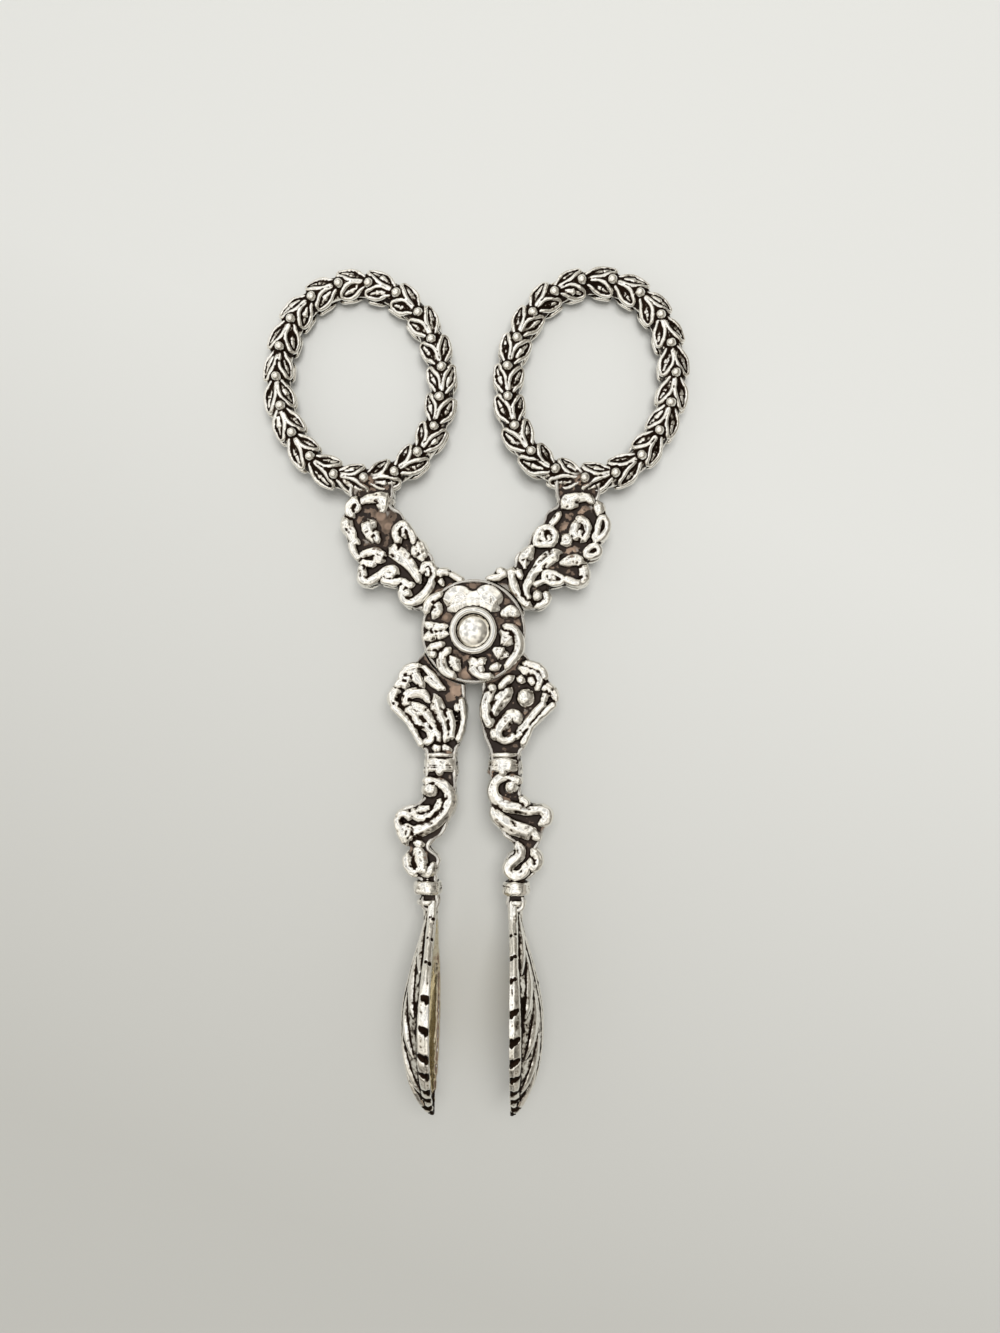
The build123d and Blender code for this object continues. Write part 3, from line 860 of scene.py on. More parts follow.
# %% Strokes of the right handle
right_handle_rolls = [
    [(12.8, 17.9, 0.75), (13.3, 18.5, 0.9), (14.3, 18.8, 0.7), (15.3, 19.0, 0.55),
     (16.1, 18.9, 0.45), (16.6, 18.4, 0.3)],
    [(13.6, 18.0, 0.75), (14.2, 17.9, 0.5)],
    [(17.5, 17.8, 0.5), (17.7, 17.2, 0.6), (17.6, 16.7, 0.4)],
    [(14.4, 15.2, 0.55), (14.2, 14.2, 0.65), (14.6, 13.3, 0.65)],
    [(14.8, 15.9, 0.4), (15.6, 15.5, 0.45), (16.0, 14.6, 0.45), (15.9, 13.8, 0.45),
     (15.3, 13.0, 0.5)],
    [(14.9, 14.1, 0.5), (14.9, 13.3, 0.5)],
    [(12.8, 13.3, 0.45), (13.3, 12.7, 0.4), (12.6, 12.5, 0.35)],
    [(10.9, 15.2, 0.35), (11.5, 15.9, 0.35), (12.0, 16.6, 0.3)],
    [(9.7, 13.9, 0.5), (9.9, 13.0, 0.5), (10.7, 13.3, 0.4)],
    [(8.1, 11.7, 0.5), (7.6, 10.9, 0.8), (7.2, 10.0, 0.8), (7.2, 9.3, 0.5)],
    [(11.6, 10.9, 0.85), (10.7, 10.5, 1.0), (9.8, 9.7, 0.95), (9.0, 8.9, 0.7), (8.3, 8.1, 0.55),
     (7.8, 7.2, 0.45), (7.4, 6.3, 0.38), (7.4, 5.4, 0.3), (7.8, 4.6, 0.25)],
    [(12.6, 9.7, 0.45), (13.4, 9.9, 0.65), (14.4, 10.0, 0.7), (15.1, 9.7, 0.55)],
    [(15.3, 9.0, 0.5), (15.5, 8.2, 0.65), (15.4, 7.4, 0.65), (15.1, 6.9, 0.45)],
    [(12.9, 7.3, 0.3), (13.8, 7.0, 0.35), (14.8, 6.8, 0.35)],
    [(8.7, 6.6, 0.2), (9.4, 6.9, 0.25), (10.0, 7.1, 0.3)],
    [(10.6, 7.6, 0.4), (11.5, 7.4, 0.4)],
    [(10.1, 5.4, 0.32), (10.3, 4.6, 0.35), (9.7, 3.9, 0.35), (8.9, 3.5, 0.3)],
    [(5.3, 8.6, 0.4), (5.4, 7.6, 0.42), (5.7, 6.4, 0.42), (6.2, 5.2, 0.45), (6.9, 4.3, 0.48),
     (7.8, 3.8, 0.38)],
    [(6.3, 8.5, 0.35), (6.6, 7.6, 0.3)],
    [(1.9, 7.2, 0.3), (2.8, 7.5, 0.4), (3.6, 7.8, 0.4), (4.4, 8.2, 0.35)],
    [(3.4, 8.4, 0.35), (4.0, 8.6, 0.3)],
]  # fmt: skip
right_handle_rims = [
    [(18.1, 16.0, 0.36), (18.7, 15.5, 0.36), (18.8, 14.7, 0.36), (18.3, 13.7, 0.36),
     (17.6, 13.0, 0.36), (17.0, 13.0, 0.33), (17.3, 14.0, 0.36), (17.5, 15.0, 0.36)],
    [(16.4, 11.9, 0.33), (17.2, 12.0, 0.33), (17.6, 11.5, 0.33), (17.3, 10.8, 0.33),
     (16.5, 10.5, 0.33), (15.8, 10.9, 0.33)],
    [(10.3, 14.7, 0.4), (9.3, 14.2, 0.4), (8.8, 13.2, 0.4), (8.9, 12.4, 0.38), (9.9, 12.2, 0.38),
     (11.1, 12.5, 0.4), (11.4, 13.3, 0.4), (11.0, 14.3, 0.4)],
    [(9.9, 8.0, 0.3), (10.9, 8.2, 0.3), (11.9, 7.8, 0.3), (12.4, 7.2, 0.3), (11.7, 6.8, 0.3),
     (10.4, 6.9, 0.3)],
]  # fmt: skip
right_handle_balls = [(8.95, 4.9, 1.0)]
right_handle_tan = [
    (15.2, 16.8, 1.1), (13.6, 11.2, 1.2), (11.0, 8.8, 0.8), (12.9, 14.6, 1.0), (16.4, 9.1, 0.6),
    (9.0, 6.1, 0.8), (5.5, 5.2, 0.9),
]  # fmt: skip
right_handle_pits = [
    (15.0, 15.3, 0.3), (15.55, 14.4, 0.25), (15.5, 13.8, 0.22), (10.1, 13.8, 0.5),
    (10.2, 13.1, 0.4), (9.5, 12.8, 0.3), (8.1, 11.5, 0.3), (13.8, 8.3, 0.7), (14.3, 8.0, 0.4),
    (10.9, 7.5, 0.35), (12.6, 12.9, 0.3), (16.7, 11.2, 0.35), (11.3, 16.2, 0.5), (12.3, 16.0, 0.5),
    (17.8, 17.3, 0.25),
]  # fmt: skip
print("right handle:", len(right_handle_rolls), "rolls and", len(right_handle_pits), "pits")

# %% Build both handles
plate_floor, pit_height = 1.05, 1.9
own_lap, other_lap = 7.3, 7.6


def lap_room(side):
    """What the bosses need: the disc of this arm's own half, and more round the other."""
    own = -side
    profile = [(0, -5), (other_lap, -5), (other_lap, 0.03), (own_lap, 0.03), (own_lap, 5), (0, 5)]
    return lathe("lap_room", [(radius, own * height) for radius, height in profile])


def leaf_body(rim):
    """The swelling inside a leaf's rim: a low roll along the leaf's longest way."""
    corners = [Vector(point[:2]) for point in rim]
    middle = Vector([sum(axis) for axis in zip(*rim)][:2]) / len(rim)
    first = max(corners, key=lambda corner: (corner - middle).length)
    last = max(corners, key=lambda corner: (corner - first).length)
    radius = max(0.35, 0.85 * min((corner - middle).length for corner in corners))
    ends = [middle.lerp(first, 0.45), middle, middle.lerp(last, 0.45)]
    return [(*end, radius) for end in ends]


def edge_bead(outline):
    """A thin bead just inside a blank's outline, on both faces."""
    corners = [Vector(point) for point in outline]
    before, after = corners[-1:] + corners[:-1], corners[1:] + corners[:1]
    turning = sum(corner.cross(following) for corner, following in zip(corners, after))
    bead = []
    for previous, corner, following in zip(before, corners, after):
        run = (following - previous).normalized()
        inward = Vector((-run.y, run.x)) * (1 if turning > 0 else -1)
        bead.append((*(corner + inward * 0.20), 0.26))
    return [[(x, y, face * (plate_floor - 0.04), r) for x, y, r in bead] for face in (1, -1)]


def ornament_plate(node, side, outline, rolls, balls, tan, pits, swell, rims=(), extra=()):
    """A blank with strokes on both faces. Side is -1 for the front arm, 1 for the back."""
    strokes = wax_rolls("rolls", laid_on(plate_floor, rolls, swell=swell))
    parts = [
        blank(node + "_cast", outline, 2 * plate_floor),
        pressed(strokes, plate_floor),
        wax_rolls("edge", edge_bead(outline), closed=True),
    ]
    if rims:
        bodies = laid_on(plate_floor - 0.3, [leaf_body(rim) for rim in rims])
        parts.append(pressed(wax_rolls("bodies", bodies), plate_floor, 0.6))
        rim_rolls = wax_rolls("rims", laid_on(plate_floor, rims, swell=1.15), closed=True)
        parts.append(pressed(rim_rolls, plate_floor))
    parts += wax_balls(
        (x, y, face * (plate_floor + crown_lift(r)), r) for x, y, r in balls for face in (1, -1)
    )
    plate = join(node + "_cast", *parts, *extra)
    melt(plate)
    hammer(plate, 2.2, 0.42)
    hammer(plate, 0.9, 0.07)
    cut_away(plate, lap_room(side))
    wear_where_arms_meet(plate, side if outline[0][1] > 0 else -side)
    marks = [(x, y, z, r) for x, y, r in pits for z in (-pit_height, pit_height)]
    stain(plate, plate_floor, film_spots=tan, pits=marks, more=0.09)
    finish_piece(plate, node)


ornament_plate(
    "front_handle", -1, handle_outline, left_handle_rolls, left_handle_balls,
    left_handle_tan, left_handle_pits, swell=1.36,
)  # fmt: skip
ornament_plate(
    "back_handle", 1, [(-x, y) for x, y in handle_outline], right_handle_rolls,
    right_handle_balls, right_handle_tan, right_handle_pits, swell=1.34, rims=right_handle_rims,
)  # fmt: skip

# %% [markdown]
# ## Bosses
#
# The arms cross in a half lap. Each half is a disc with a rosette of curled petals round a
# plain bezel, and the rivet's domed head sits in the bezel. The disc and bezel are turned
# shapes, so they are spun from a profile. The broad two-lobed petal is rubbed smooth.

# %% Strokes of the rosette
rosette_rolls = [
    [(-3.4, 4.1, 1.15), (-3.0, 4.8, 1.15), (-2.0, 5.3, 1.15), (-1.3, 4.9, 1.15), (-1.5, 4.4, 1.1),
     (-2.6, 4.1, 1.1)],
    [(3.2, 4.2, 1.1), (2.8, 4.9, 1.1), (1.8, 5.4, 1.1), (1.2, 4.9, 1.1), (1.4, 4.4, 1.1),
     (2.3, 4.1, 1.1)],
    [(-2.4, 4.6, 1.1), (-1.2, 4.7, 1.1), (-0.1, 4.55, 1.0), (1.1, 4.7, 1.1), (2.3, 4.6, 1.1)],
    [(-2.9, 3.3, 0.75), (-1.9, 3.7, 0.95), (-0.9, 4.0, 0.95), (0, 4.0, 0.8), (0.9, 4.0, 0.95),
     (1.9, 3.7, 0.95), (2.9, 3.3, 0.75)],
    [(-4.6, 5.2, 0.28), (-5.6, 4.5, 0.42), (-6.3, 3.6, 0.45), (-6.6, 2.7, 0.35)],
    [(-5.1, 3.8, 0.5), (-5.0, 3.0, 0.6), (-5.4, 2.2, 0.5)],
    [(-6.4, 0.9, 0.4), (-5.6, 0.5, 0.75), (-4.6, 0.4, 0.6), (-3.9, 0.6, 0.35)],
    [(-6.4, -0.9, 0.6), (-5.4, -0.5, 0.85), (-4.4, -0.4, 0.6), (-3.8, -0.4, 0.35)],
    [(-5.9, -2.4, 0.45), (-5.0, -2.2, 0.5), (-4.3, -1.9, 0.35)],
    [(-5.9, -3.1, 0.42), (-5.3, -3.3, 0.4)],
    [(-3.4, -2.6, 0.35), (-4.1, -3.2, 0.5), (-4.4, -4.2, 0.58), (-4.1, -5.2, 0.55),
     (-3.5, -5.9, 0.45), (-2.7, -6.3, 0.3)],
    [(-3.0, -4.0, 0.55), (-2.5, -4.5, 0.75), (-2.2, -5.1, 0.5)],
    [(-0.2, -4.4, 0.65), (0.7, -4.6, 0.55), (1.4, -4.1, 0.4)],
    [(-0.1, -5.1, 0.5), (0.5, -5.8, 0.5), (1.4, -6.3, 0.4), (2.4, -6.3, 0.28)],
    [(1.0, -5.0, 0.3), (1.2, -5.6, 0.35)],
    [(4.3, -0.4, 0.75), (4.9, -0.9, 0.95), (4.4, -1.6, 0.8)],
    [(3.3, -2.8, 0.65), (3.9, -3.2, 0.9), (4.4, -3.3, 0.6)],
    [(4.4, 0.6, 0.3), (5.5, 0.3, 0.42), (6.2, -0.8, 0.5), (6.4, -2.1, 0.5), (6.0, -3.3, 0.5),
     (5.3, -4.2, 0.42), (4.7, -5.0, 0.32)],
    [(4.3, 2.4, 0.45), (5.2, 2.8, 0.7), (6.0, 2.4, 0.45)],
    [(2.6, -5.2, 0.3), (3.4, -4.9, 0.4)],
]  # fmt: skip
rosette_tan = [
    (-1.1, -6.1, 1.1), (-0.7, -3.6, 0.6), (3.4, -6.1, 0.7), (6.1, 0.9, 0.7), (-3.9, 1.9, 0.6),
]  # fmt: skip
rosette_rubbed = [(-2.1, 4.4, 2.3), (2.1, 4.4, 2.3), (0, 4.5, 1.5)]
rosette_pits = [
    (-5.7, 4.0, 0.4), (-6.2, 2.2, 0.42), (-6.1, 1.4, 0.42), (-4.3, 1.3, 0.35), (-4.0, 0.1, 0.25),
    (-2.2, -5.9, 0.6), (-2.9, 2.7, 0.35), (0.8, 3.5, 0.4), (2.2, 3.0, 0.35), (5.4, 1.8, 0.4),
    (6.1, 1.6, 0.35), (4.6, 1.7, 0.35), (5.3, -2.6, 0.6), (3.3, -4.5, 0.6), (2.4, -5.9, 0.5),
    (-0.9, 5.5, 0.14), (-0.9, 4.8, 0.16), (-0.85, 4.1, 0.2), (-0.7, 3.4, 0.22), (-1.6, 6.1, 0.16),
    (1.1, 4.9, 0.16), (0.9, 4.5, 0.16), (2.5, 4.3, 0.13), (1.8, 5.0, 0.12), (2.2, 3.6, 0.16),
    (2.1, 5.7, 0.2), (2.9, 5.5, 0.22),
]  # fmt: skip
print("rosette:", len(rosette_rolls), "rolls and", len(rosette_pits), "pits")

# %% Build both bosses
boss_floor = 1.75


def boss(node, side, bore):
    """The front boss is the upper half of the lap, and the back one is it turned over."""
    disc = lathe(
        node + "_cast",
        [(bore, 0.03), (7.30, 0.03), (7.30, 1.85), (7.05, 1.98), (6.80, boss_floor),
         (3.30, boss_floor), (3.30, 2.75), (3.05, 2.96), (2.65, 2.96), (2.45, 2.80),
         (2.45, 1.93), (bore, 1.93)],
    )  # fmt: skip
    petals = wax_rolls("petals", laid_on(boss_floor, rosette_rolls, faces=(1,), swell=1.35))
    hammer(pressed(petals, boss_floor, 0.8), 2.0, 0.14)
    half = join(node + "_cast", disc, petals)
    melt(half, 0.13)
    hammer(half, 1.1, 0.06)
    if side > 0:
        apply_place(half, Matrix.Rotation(pi, 4, "Y"))

    def on_face(spots, height):
        return [(-side * x, y, -side * height, radius) for x, y, radius in spots]

    stain(
        half,
        boss_floor,
        film_spots=[(-side * x, y, reach) for x, y, reach in rosette_tan],
        pits=on_face(rosette_pits, 2.6),
        rubbed=on_face(rosette_rubbed, 2.5),
        more=0.08,
    )
    finish_piece(half, node)


boss("front_boss", -1, 1.52)
boss("back_boss", 1, 1.56)

# %% [markdown]
# ## Stems
#
# Below the boss each arm narrows in steps: a large curled leaf, a scalloped collar, a ball
# and a C-scroll that kicks outwards, a knee, and a plain collar with the round neck of the
# bowl. It is cast like the handle, so the same tool builds it.

# %% The stems' outline
stem_outline = [
    (4.9, -1.9), (7.1, -3.0), (8.6, -5.0), (10.1, -5.6), (10.7, -7.5), (11.9, -8.8), (11.1, -10.5),
    (9.2, -11.5), (8.0, -13.7), (7.2, -16.2), (6.6, -16.8), (6.6, -19.6), (6.6, -22.6),
    (7.7, -24.0), (9.8, -24.7), (10.7, -26.0), (9.8, -27.5), (9.3, -29.2), (8.7, -30.3),
    (9.4, -31.8), (8.2, -33.9), (7.1, -34.6), (6.8, -35.5), (6.9, -38.4), (5.0, -38.4),
    (4.9, -36.0), (5.0, -33.0), (4.6, -31.6), (6.1, -29.9), (4.2, -28.2), (3.4, -26.4),
    (2.5, -24.7), (2.4, -22.4), (2.4, -19.6), (2.4, -17.0), (1.5, -14.6), (0.9, -11.6), (1.2, -8.6),
    (1.2, -5.9), (0.8, -3.4),
]  # fmt: skip
print("stem outline:", len(stem_outline), "corners")

# %% Strokes of the left stem
left_stem_rolls = [
    [(-9.2, -6.1, 0.45), (-8.4, -5.6, 0.65), (-7.8, -5.5, 0.55)],
    [(-8.2, -6.1, 0.55), (-7.7, -6.9, 0.45), (-7.1, -7.6, 0.3)],
    [(-9.7, -6.5, 0.35), (-9.0, -6.7, 0.3)],
    [(-10.0, -7.3, 0.45), (-9.4, -7.6, 0.4)],
    [(-7.6, -4.8, 0.3), (-8.9, -5.1, 0.35), (-9.8, -5.8, 0.35), (-10.2, -6.8, 0.32),
     (-10.6, -7.7, 0.35)],
    [(-10.7, -8.2, 0.5), (-11.1, -9.1, 0.6), (-11.1, -9.9, 0.5), (-10.5, -10.3, 0.35)],
    [(-11.2, -10.5, 0.28), (-10.2, -11.4, 0.28), (-9.0, -12.8, 0.28), (-8.0, -14.3, 0.26),
     (-7.2, -15.9, 0.25)],
    [(-7.0, -4.9, 0.22), (-5.9, -6.1, 0.25), (-5.0, -7.1, 0.25), (-4.1, -8.1, 0.22)],
    [(-6.5, -6.5, 0.3), (-5.4, -7.5, 0.32), (-4.6, -8.1, 0.25)],
    [(-9.5, -10.2, 0.5), (-9.4, -9.3, 0.52), (-8.6, -8.7, 0.52), (-7.5, -8.6, 0.52),
     (-6.7, -9.1, 0.48), (-6.3, -9.7, 0.3)],
    [(-8.3, -10.4, 0.5), (-7.3, -11.1, 0.75), (-6.4, -12.0, 0.85), (-5.7, -13.1, 0.75),
     (-5.1, -14.2, 0.6), (-4.7, -15.2, 0.4)],
    [(-9.1, -10.9, 0.5), (-8.3, -11.7, 0.5), (-7.9, -12.5, 0.45), (-7.3, -13.0, 0.5),
     (-6.4, -13.5, 0.5), (-5.8, -14.4, 0.5), (-6.0, -15.2, 0.42), (-6.6, -15.5, 0.32)],
    [(-5.3, -9.5, 0.7), (-5.0, -10.6, 0.85), (-4.5, -11.8, 0.8), (-4.0, -13.0, 0.7),
     (-3.8, -14.2, 0.65), (-3.9, -15.2, 0.48)],
    [(-3.4, -11.2, 0.3), (-3.0, -12.3, 0.35), (-2.95, -13.6, 0.35), (-3.0, -14.8, 0.3)],
    [(-1.65, -9.6, 0.22), (-1.45, -11.5, 0.22), (-1.55, -13.4, 0.22), (-2.15, -15.2, 0.22)],
    [(-2.35, -10.4, 0.26), (-2.2, -11.1, 0.22)],
    [(-5.4, -16.2, 0.35), (-4.6, -16.4, 0.3)],
    [(-4.1, -16.2, 0.3), (-3.4, -16.5, 0.3)],
    [(-6.6, -20.9, 0.35), (-5.2, -20.9, 0.42), (-4.2, -21.4, 0.55), (-3.55, -22.2, 0.62),
     (-3.3, -23.3, 0.68), (-3.6, -24.6, 0.7), (-4.5, -25.8, 0.7), (-5.7, -26.8, 0.7),
     (-7.0, -27.5, 0.75), (-8.3, -28.1, 0.85), (-9.0, -28.8, 0.65)],
    [(-10.4, -26.0, 0.36), (-10.3, -26.9, 0.42), (-9.8, -27.8, 0.55), (-9.4, -28.7, 0.5),
     (-9.2, -29.4, 0.38)],
    [(-10.3, -25.6, 0.36), (-9.5, -25.5, 0.36), (-8.7, -25.9, 0.38)],
    [(-8.2, -25.1, 0.32), (-7.9, -25.8, 0.38), (-7.2, -26.0, 0.38), (-6.3, -25.7, 0.42),
     (-5.5, -25.1, 0.4), (-4.9, -24.4, 0.4), (-4.5, -23.6, 0.36)],
    [(-7.4, -24.8, 0.3), (-6.8, -24.7, 0.3), (-6.0, -24.6, 0.28)],
    [(-7.6, -30.0, 0.45), (-7.6, -31.0, 0.65), (-7.3, -32.1, 0.75), (-6.6, -33.0, 0.8),
     (-5.9, -33.2, 0.7), (-5.6, -32.6, 0.45)],
    [(-9.0, -31.3, 0.42), (-9.0, -32.2, 0.5), (-8.6, -33.0, 0.48), (-7.9, -33.5, 0.48)],
    [(-7.0, -30.9, 0.4), (-6.9, -32.0, 0.6), (-7.6, -33.3, 0.5)],
    [(-9.6, -27.3, 0.5), (-8.9, -27.6, 0.6), (-9.2, -28.4, 0.6)],
    [(-7.9, -29.4, 0.35), (-7.2, -29.6, 0.35)],
]  # fmt: skip
left_stem_balls = [
    (-5.9, -22.1, 1.4), (-2.35, -11.9, 0.24), (-2.25, -12.5, 0.24), (-2.25, -13.1, 0.24),
    (-2.3, -13.7, 0.24), (-2.4, -14.3, 0.24),
]  # fmt: skip
left_stem_tan = [
    (-2.3, -8.3, 1.6), (-4.2, -20.3, 0.7), (-6.4, -31.0, 0.8), (-8.7, -30.3, 0.7),
    (-3.4, -16.9, 0.8),
]  # fmt: skip
left_stem_pits = [
    (-11.2, -10.1, 0.35), (-7.1, -12.2, 0.35), (-6.7, -13.1, 0.28), (-7.2, -14.4, 0.7),
    (-8.8, -9.6, 0.4), (-8.0, -9.7, 0.45), (-7.2, -10.0, 0.4), (-3.5, -10.8, 0.22),
    (-9.4, -6.1, 0.18), (-8.9, -6.5, 0.18), (-9.3, -26.3, 0.5), (-8.5, -26.6, 0.35),
    (-6.2, -26.9, 0.15), (-5.5, -26.5, 0.15), (-7.0, -27.3, 0.22), (-3.4, -23.1, 0.15),
    (-9.0, -28.0, 0.2), (-8.4, -28.4, 0.2), (-8.9, -32.2, 0.3), (-8.3, -31.6, 0.25),
    (-8.1, -32.3, 0.22), (-5.75, -32.6, 0.2), (-6.6, -32.8, 0.25), (-8.7, -33.6, 0.3),
    (-7.3, -32.6, 0.18), (-8.7, -7.8, 0.4), (-7.8, -7.6, 0.4),
]  # fmt: skip
print("left stem:", len(left_stem_rolls), "rolls and", len(left_stem_pits), "pits")

# %% Strokes of the right stem
right_stem_rolls = [
    [(7.0, -5.2, 0.65), (8.1, -5.6, 0.85), (8.9, -6.1, 0.75), (9.1, -7.0, 0.65), (9.0, -7.7, 0.48)],
    [(8.0, -6.7, 0.42), (8.5, -7.2, 0.38)],
    [(6.4, -6.6, 0.35), (6.9, -6.9, 0.3)],
    [(7.2, -4.5, 0.3), (8.7, -4.9, 0.35), (9.6, -5.6, 0.35), (10.0, -6.5, 0.3)],
    [(10.0, -7.7, 0.5), (10.8, -8.3, 0.55), (11.3, -8.9, 0.42), (11.5, -9.4, 0.3)],
    [(10.1, -8.9, 0.35), (9.8, -9.6, 0.3)],
    [(9.8, -10.1, 0.3), (9.1, -11.0, 0.35), (8.2, -12.1, 0.38), (7.3, -13.3, 0.42),
     (6.5, -14.3, 0.45), (6.0, -14.8, 0.32)],
    [(11.2, -10.2, 0.25), (9.9, -11.4, 0.25), (8.6, -12.7, 0.25), (7.6, -14.2, 0.24),
     (6.9, -15.7, 0.24)],
    [(4.8, -8.1, 0.7), (4.4, -9.0, 0.8), (3.7, -9.8, 0.85), (3.1, -10.8, 0.75), (2.8, -11.6, 0.5)],
    [(5.3, -6.5, 0.35), (4.6, -7.0, 0.42), (3.9, -7.8, 0.38)],
    [(2.2, -8.7, 0.5), (1.95, -9.8, 0.58), (1.95, -11.0, 0.58), (2.0, -12.1, 0.58),
     (2.5, -13.0, 0.55)],
    [(2.6, -7.7, 0.35), (2.7, -8.3, 0.3)],
    [(6.3, -12.4, 0.45), (5.9, -11.9, 0.62), (5.0, -12.0, 0.75), (4.2, -12.7, 0.75),
     (3.6, -13.6, 0.62), (3.5, -14.5, 0.42), (4.0, -15.1, 0.38), (5.0, -15.1, 0.35),
     (5.7, -14.6, 0.3)],
    [(2.9, -14.0, 0.35), (3.0, -14.8, 0.3)],
    [(6.4, -20.9, 0.35), (5.6, -20.5, 0.38), (4.4, -20.3, 0.42), (3.35, -20.8, 0.45),
     (2.85, -21.7, 0.48), (2.9, -22.7, 0.55), (3.5, -23.6, 0.62), (4.7, -24.2, 0.65),
     (6.0, -24.5, 0.62), (7.3, -24.8, 0.55), (8.6, -24.8, 0.42), (9.6, -24.9, 0.48),
     (10.2, -25.5, 0.52), (10.0, -26.3, 0.52), (9.5, -26.6, 0.4)],
    [(2.9, -24.9, 0.45), (3.5, -25.8, 0.65), (4.7, -26.7, 0.8), (6.0, -27.3, 0.85),
     (7.4, -27.8, 0.9), (8.4, -28.1, 0.8), (9.0, -28.5, 0.5)],
    [(6.7, -23.3, 0.28), (7.6, -24.0, 0.28)],
    [(6.3, -29.6, 0.42), (6.6, -30.4, 0.52), (6.4, -31.2, 0.52), (5.7, -31.8, 0.52),
     (5.1, -32.4, 0.48), (5.0, -33.2, 0.45), (5.6, -33.7, 0.45), (6.5, -33.7, 0.45),
     (7.2, -33.1, 0.45), (7.4, -32.4, 0.35)],
    [(8.4, -30.6, 0.42), (8.9, -31.3, 0.48), (8.9, -32.1, 0.5), (8.4, -32.6, 0.45),
     (8.0, -32.2, 0.35), (8.0, -31.7, 0.3)],
]  # fmt: skip
right_stem_balls = [(7.25, -9.25, 1.65), (5.3, -21.6, 1.15)]
right_stem_tan = [
    (4.9, -14.2, 0.8), (7.4, -11.7, 0.7), (4.8, -23.1, 1.0), (9.7, -27.5, 0.6), (2.8, -19.9, 0.7),
    (5.6, -20.0, 0.6),
]  # fmt: skip
right_stem_pits = [
    (6.7, -5.2, 0.28), (7.4, -6.5, 0.3), (7.9, -6.3, 0.25), (9.5, -5.5, 0.18), (9.9, -6.9, 0.4),
    (10.5, -7.6, 0.25), (8.4, -9.0, 0.2), (6.4, -9.9, 0.28), (6.9, -10.0, 0.22), (1.9, -9.2, 0.22),
    (1.8, -10.2, 0.25), (3.5, -9.6, 0.18), (4.3, -9.8, 0.25), (2.05, -13.6, 0.55),
    (2.4, -14.6, 0.4), (5.7, -18.2, 0.35), (9.6, -9.0, 0.45), (8.7, -25.8, 0.65), (7.8, -26.0, 0.4),
    (6.1, -32.6, 0.6), (6.6, -32.9, 0.35), (8.5, -31.7, 0.28), (8.5, -32.2, 0.25),
    (2.7, -24.3, 0.18), (4.3, -24.2, 0.15), (6.1, -21.1, 0.25), (4.6, -20.9, 0.25),
    (7.2, -27.6, 0.15), (9.3, -28.4, 0.2), (3.5, -12.2, 0.35), (4.3, -11.2, 0.35),
]  # fmt: skip
print("right stem:", len(right_stem_rolls), "rolls and", len(right_stem_pits), "pits")


# %% Collars round the stems
def hoop(x, y, half_width, radius, deep=0.78):
    """A roll bent round the stem's oval section."""
    outer, thick = half_width - radius, half_width * deep - radius
    turns = np.linspace(0, 2 * pi, 14, endpoint=False)
    return [(x + outer * cos(a), y, thick * sin(a), radius) for a in turns]


def collars(x_upper, x_lower):
    """The scalloped collar above the ball, the plain one above the bowl, and the neck."""
    hoops = [hoop(x_upper, -17.25, 2.4, 0.36)]
    hoops += [hoop(x_upper, y, 2.45, 0.5) for y in (-18.15, -18.5, -18.85, -19.2)]
    hoops += [hoop(x_lower, y, 1.98, 0.5, 0.95) for y in (-35.15, -35.5, -35.85, -36.1)]
    hoops += [hoop(x_lower, -37.6, 1.5, 0.45, 1.0)]
    fill = [
        [(x_upper, -17.2, 0, 1.5), (x_upper, -19.4, 0, 1.5)],
        [(x_lower, -34.4, 0, 1.3), (x_lower, -36.2, 0, 1.3)],
        [(x_lower, -36.6, 0, 1.0), (x_lower, -38.4, 0, 0.95)],
    ]
    scallops = [
        (x_upper + across, -19.6, face * deep, radius)
        for across, deep, radius in ((-0.2, 1.25, 0.7), (-2.0, 0.6, 0.5), (2.0, 0.6, 0.5))
        for face in (1, -1)
    ]
    return [wax_rolls("hoops", hoops, closed=True), wax_rolls("fill", fill)] + wax_balls(scallops)


# %% Build both stems
ornament_plate(
    "back_stem", 1, [(-x, y) for x, y in stem_outline], left_stem_rolls, left_stem_balls,
    left_stem_tan, left_stem_pits, swell=1.46, extra=collars(-4.5, -6.3),
)  # fmt: skip
ornament_plate(
    "front_stem", -1, stem_outline, right_stem_rolls, right_stem_balls,
    right_stem_tan, right_stem_pits, swell=1.50, extra=collars(4.4, 6.0),
)  # fmt: skip

# %% [markdown]
# ## Bowls
#
# Each bowl is a thin leaf-shaped shell that stands on edge, hollow towards the other one.
# Outside, leaf lobes run slantwise from a smooth keel to the rim, with dark grooves between
# them. The rim is a thicker double band, notched every few millimetres. The inside is plain,
# polished and pale gold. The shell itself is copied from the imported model, because its
# shape is exact there, and the lobes and band are laid on it.

# %% The bowl's shape from neck to tip
bowl_length, bowl_half_width, bowl_depth, rim_offset, neck_y = 28.9, 8.8, 4.4, 5.2, -37.4
# Share of the length, of the half width and of the depth.
stations = np.array([
    (0.000, 0.120, 0.200), (0.090, 0.170, 0.300), (0.200, 0.480, 0.500), (0.320, 0.790, 0.740),
    (0.440, 0.965, 0.920), (0.560, 1.000, 1.000), (0.680, 0.920, 0.970), (0.790, 0.740, 0.830),
    (0.890, 0.470, 0.570), (0.960, 0.220, 0.290), (1.000, 0.050, 0.080),
])  # fmt: skip
print("bowl:", bowl_length, "mm long and", 2 * bowl_half_width, "mm wide")


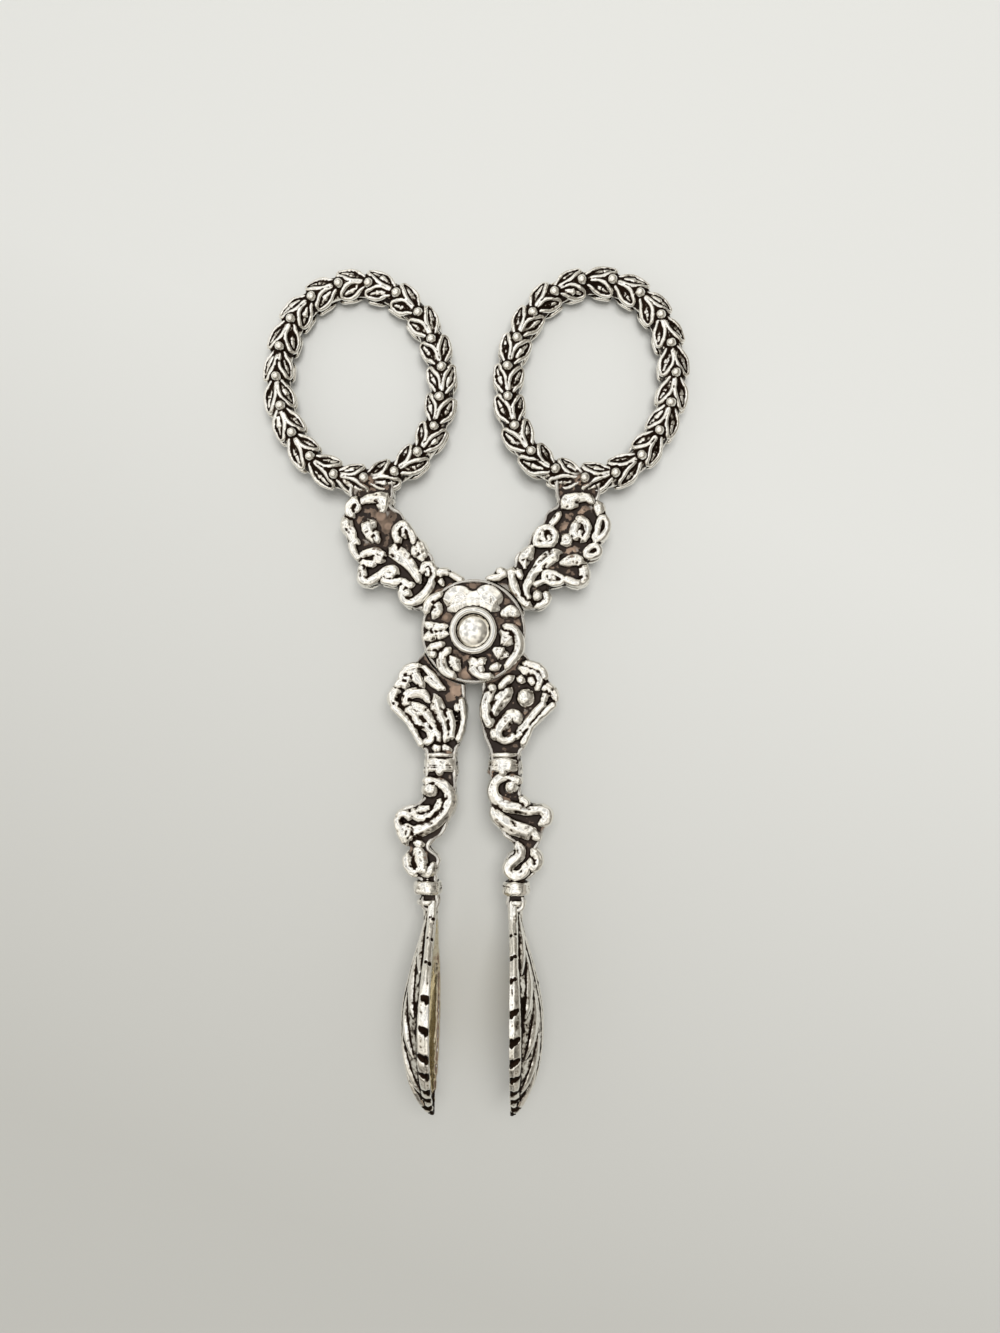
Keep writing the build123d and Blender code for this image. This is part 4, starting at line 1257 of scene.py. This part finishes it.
def on_bowl(along, angle, proud):
    """A point on the outer skin of the right bowl. Angle 90 is the upper rim."""
    wide = np.interp(along, stations[:, 0], stations[:, 1]) * bowl_half_width + proud
    deep = np.interp(along, stations[:, 0], stations[:, 2]) * bowl_depth + proud
    turn = radians(angle)
    return (rim_offset + deep * cos(turn), neck_y - along * bowl_length, wide * sin(turn))


def bowl_strokes():
    """A smooth keel, leaf lobes that run slantwise from it, and the double band."""
    alongs = np.linspace(0.02, 0.97, 12)
    strokes = [[(*on_bowl(a, angle, -0.14), 0.40) for a in alongs] for angle in (0, 15, -15)]
    for face in (1, -1):
        for meets_rim in (0.30, 0.48, 0.66, 0.84, 0.99):
            lobe = []
            for t in np.linspace(0, 1, 6):
                along = max(0.03, meets_rim - 0.26 * (1 - t) ** 1.2)
                place = on_bowl(along, face * (31 + 30 * t), -0.10)
                lobe.append((*place, 0.32 + 0.40 * sin(pi * t)))
            strokes.append(lobe)
    for face in (1, -1):
        edge, shoulder = [], []
        for along in np.linspace(0.0, 0.985, 24):
            radius = min(0.62, 0.42 + 1.2 * along, 0.2 + 2.0 * (1.0 - along))
            x, y, z = on_bowl(along, face * 90, -0.25)
            edge.append((x + 0.60, y, z, radius))
            shoulder.append((*on_bowl(along, face * 76, -0.16), radius))
        strokes += [edge, shoulder]
    return strokes


# %% Notches along the rims, place and size
shared_notches = [(-61.5, 0.8), (-63.2, 0.9), (-64.8, 1.0), (-65.8, 0.8)]
right_notches = [(-41.7, 0.35), (-44.2, 0.5), (-46.7, 0.5), (-50.6, 0.65), (-54.2, 0.75),
                 (-57.0, 0.8), (-59.4, 0.8), *shared_notches]  # fmt: skip
left_notches = [(-39.8, 0.3), (-42.2, 0.3), (-44.9, 0.4), (-49.0, 0.7), (-52.9, 0.7),
                (-56.6, 0.8), (-59.0, 0.8), *shared_notches]  # fmt: skip
print("notches on each rim:", len(right_notches), "right and", len(left_notches), "left")


# %% Build both bowls
def bowl(node, side, notches):
    """Side is 1 for the right bowl, which rides on the front arm, and -1 for the left."""
    mesh = frame["nodes"][node].data.copy()
    mesh.transform(lay_down.inverted())
    shell = add_object(node + "_cast", mesh)
    clean_skin(shell, merge=0.002, outward=False)
    strokes = [[(side * x, y, z, r) for x, y, z, r in stroke] for stroke in bowl_strokes()]
    shell = join(node + "_cast", shell, wax_rolls("lobes", strokes))
    melt(shell)
    hammer(shell, 0.7, 0.06)

    def hollow_side(points, normals):
        """1 on the inside of the shell, short of the rim that shows and of the tip, which is
        painted dark as a reflection.
        """
        inward = (-0.1 - side * normals[:, 0]).clip(0, 0.2) / 0.2
        behind_rim = (side * points[:, 0] > rim_offset + 0.8) | (points[:, 2] < -1)
        short_of_tip = points[:, 1] > neck_y - 0.93 * bowl_length
        return inward * behind_rim * short_of_tip

    # A notch is three pits in a row outwards. The tips are painted dark all over through the oxide
    # number, as a painted dark reflection.
    marks = []
    for y, size in notches:
        x, _, z = on_bowl((neck_y - y) / bowl_length, 90, 0.2)
        for out, share in ((0.15, 1.0), (0.75, 0.8), (1.25, 0.55)):
            marks += [(side * (x + out), y + 0.5 * out, face * z, size * share) for face in (1, -1)]
    punch(shell, marks)
    # Painted reflection: dark spots that cover the tips of the bowl.
    painted_dark_tips = [
        (side * (rim_offset + out), y, 0, 1.6) for y in (-63.6, -65.0, -66.2) for out in (0.2, 1.2)
    ]
    stain(shell, inside=hollow_side, pits=marks + painted_dark_tips, more=0.09)
    finish_piece(shell, node)


bowl("front_bowl", 1, right_notches)
bowl("back_bowl", -1, left_notches)

# %% [markdown]
# ## Rivet
#
# The rivet's dome and its burr are turned shapes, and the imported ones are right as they
# are. They only need their finish: polished silver, dulled by handling.

# %% Finish the rivet
for name in ("rivet", "rivet_burr"):
    node = frame["nodes"][name]
    node.data.materials.clear()
    node.data.materials.append(bright_silver)
    print(node.name, "is finished in", bright_silver.name)
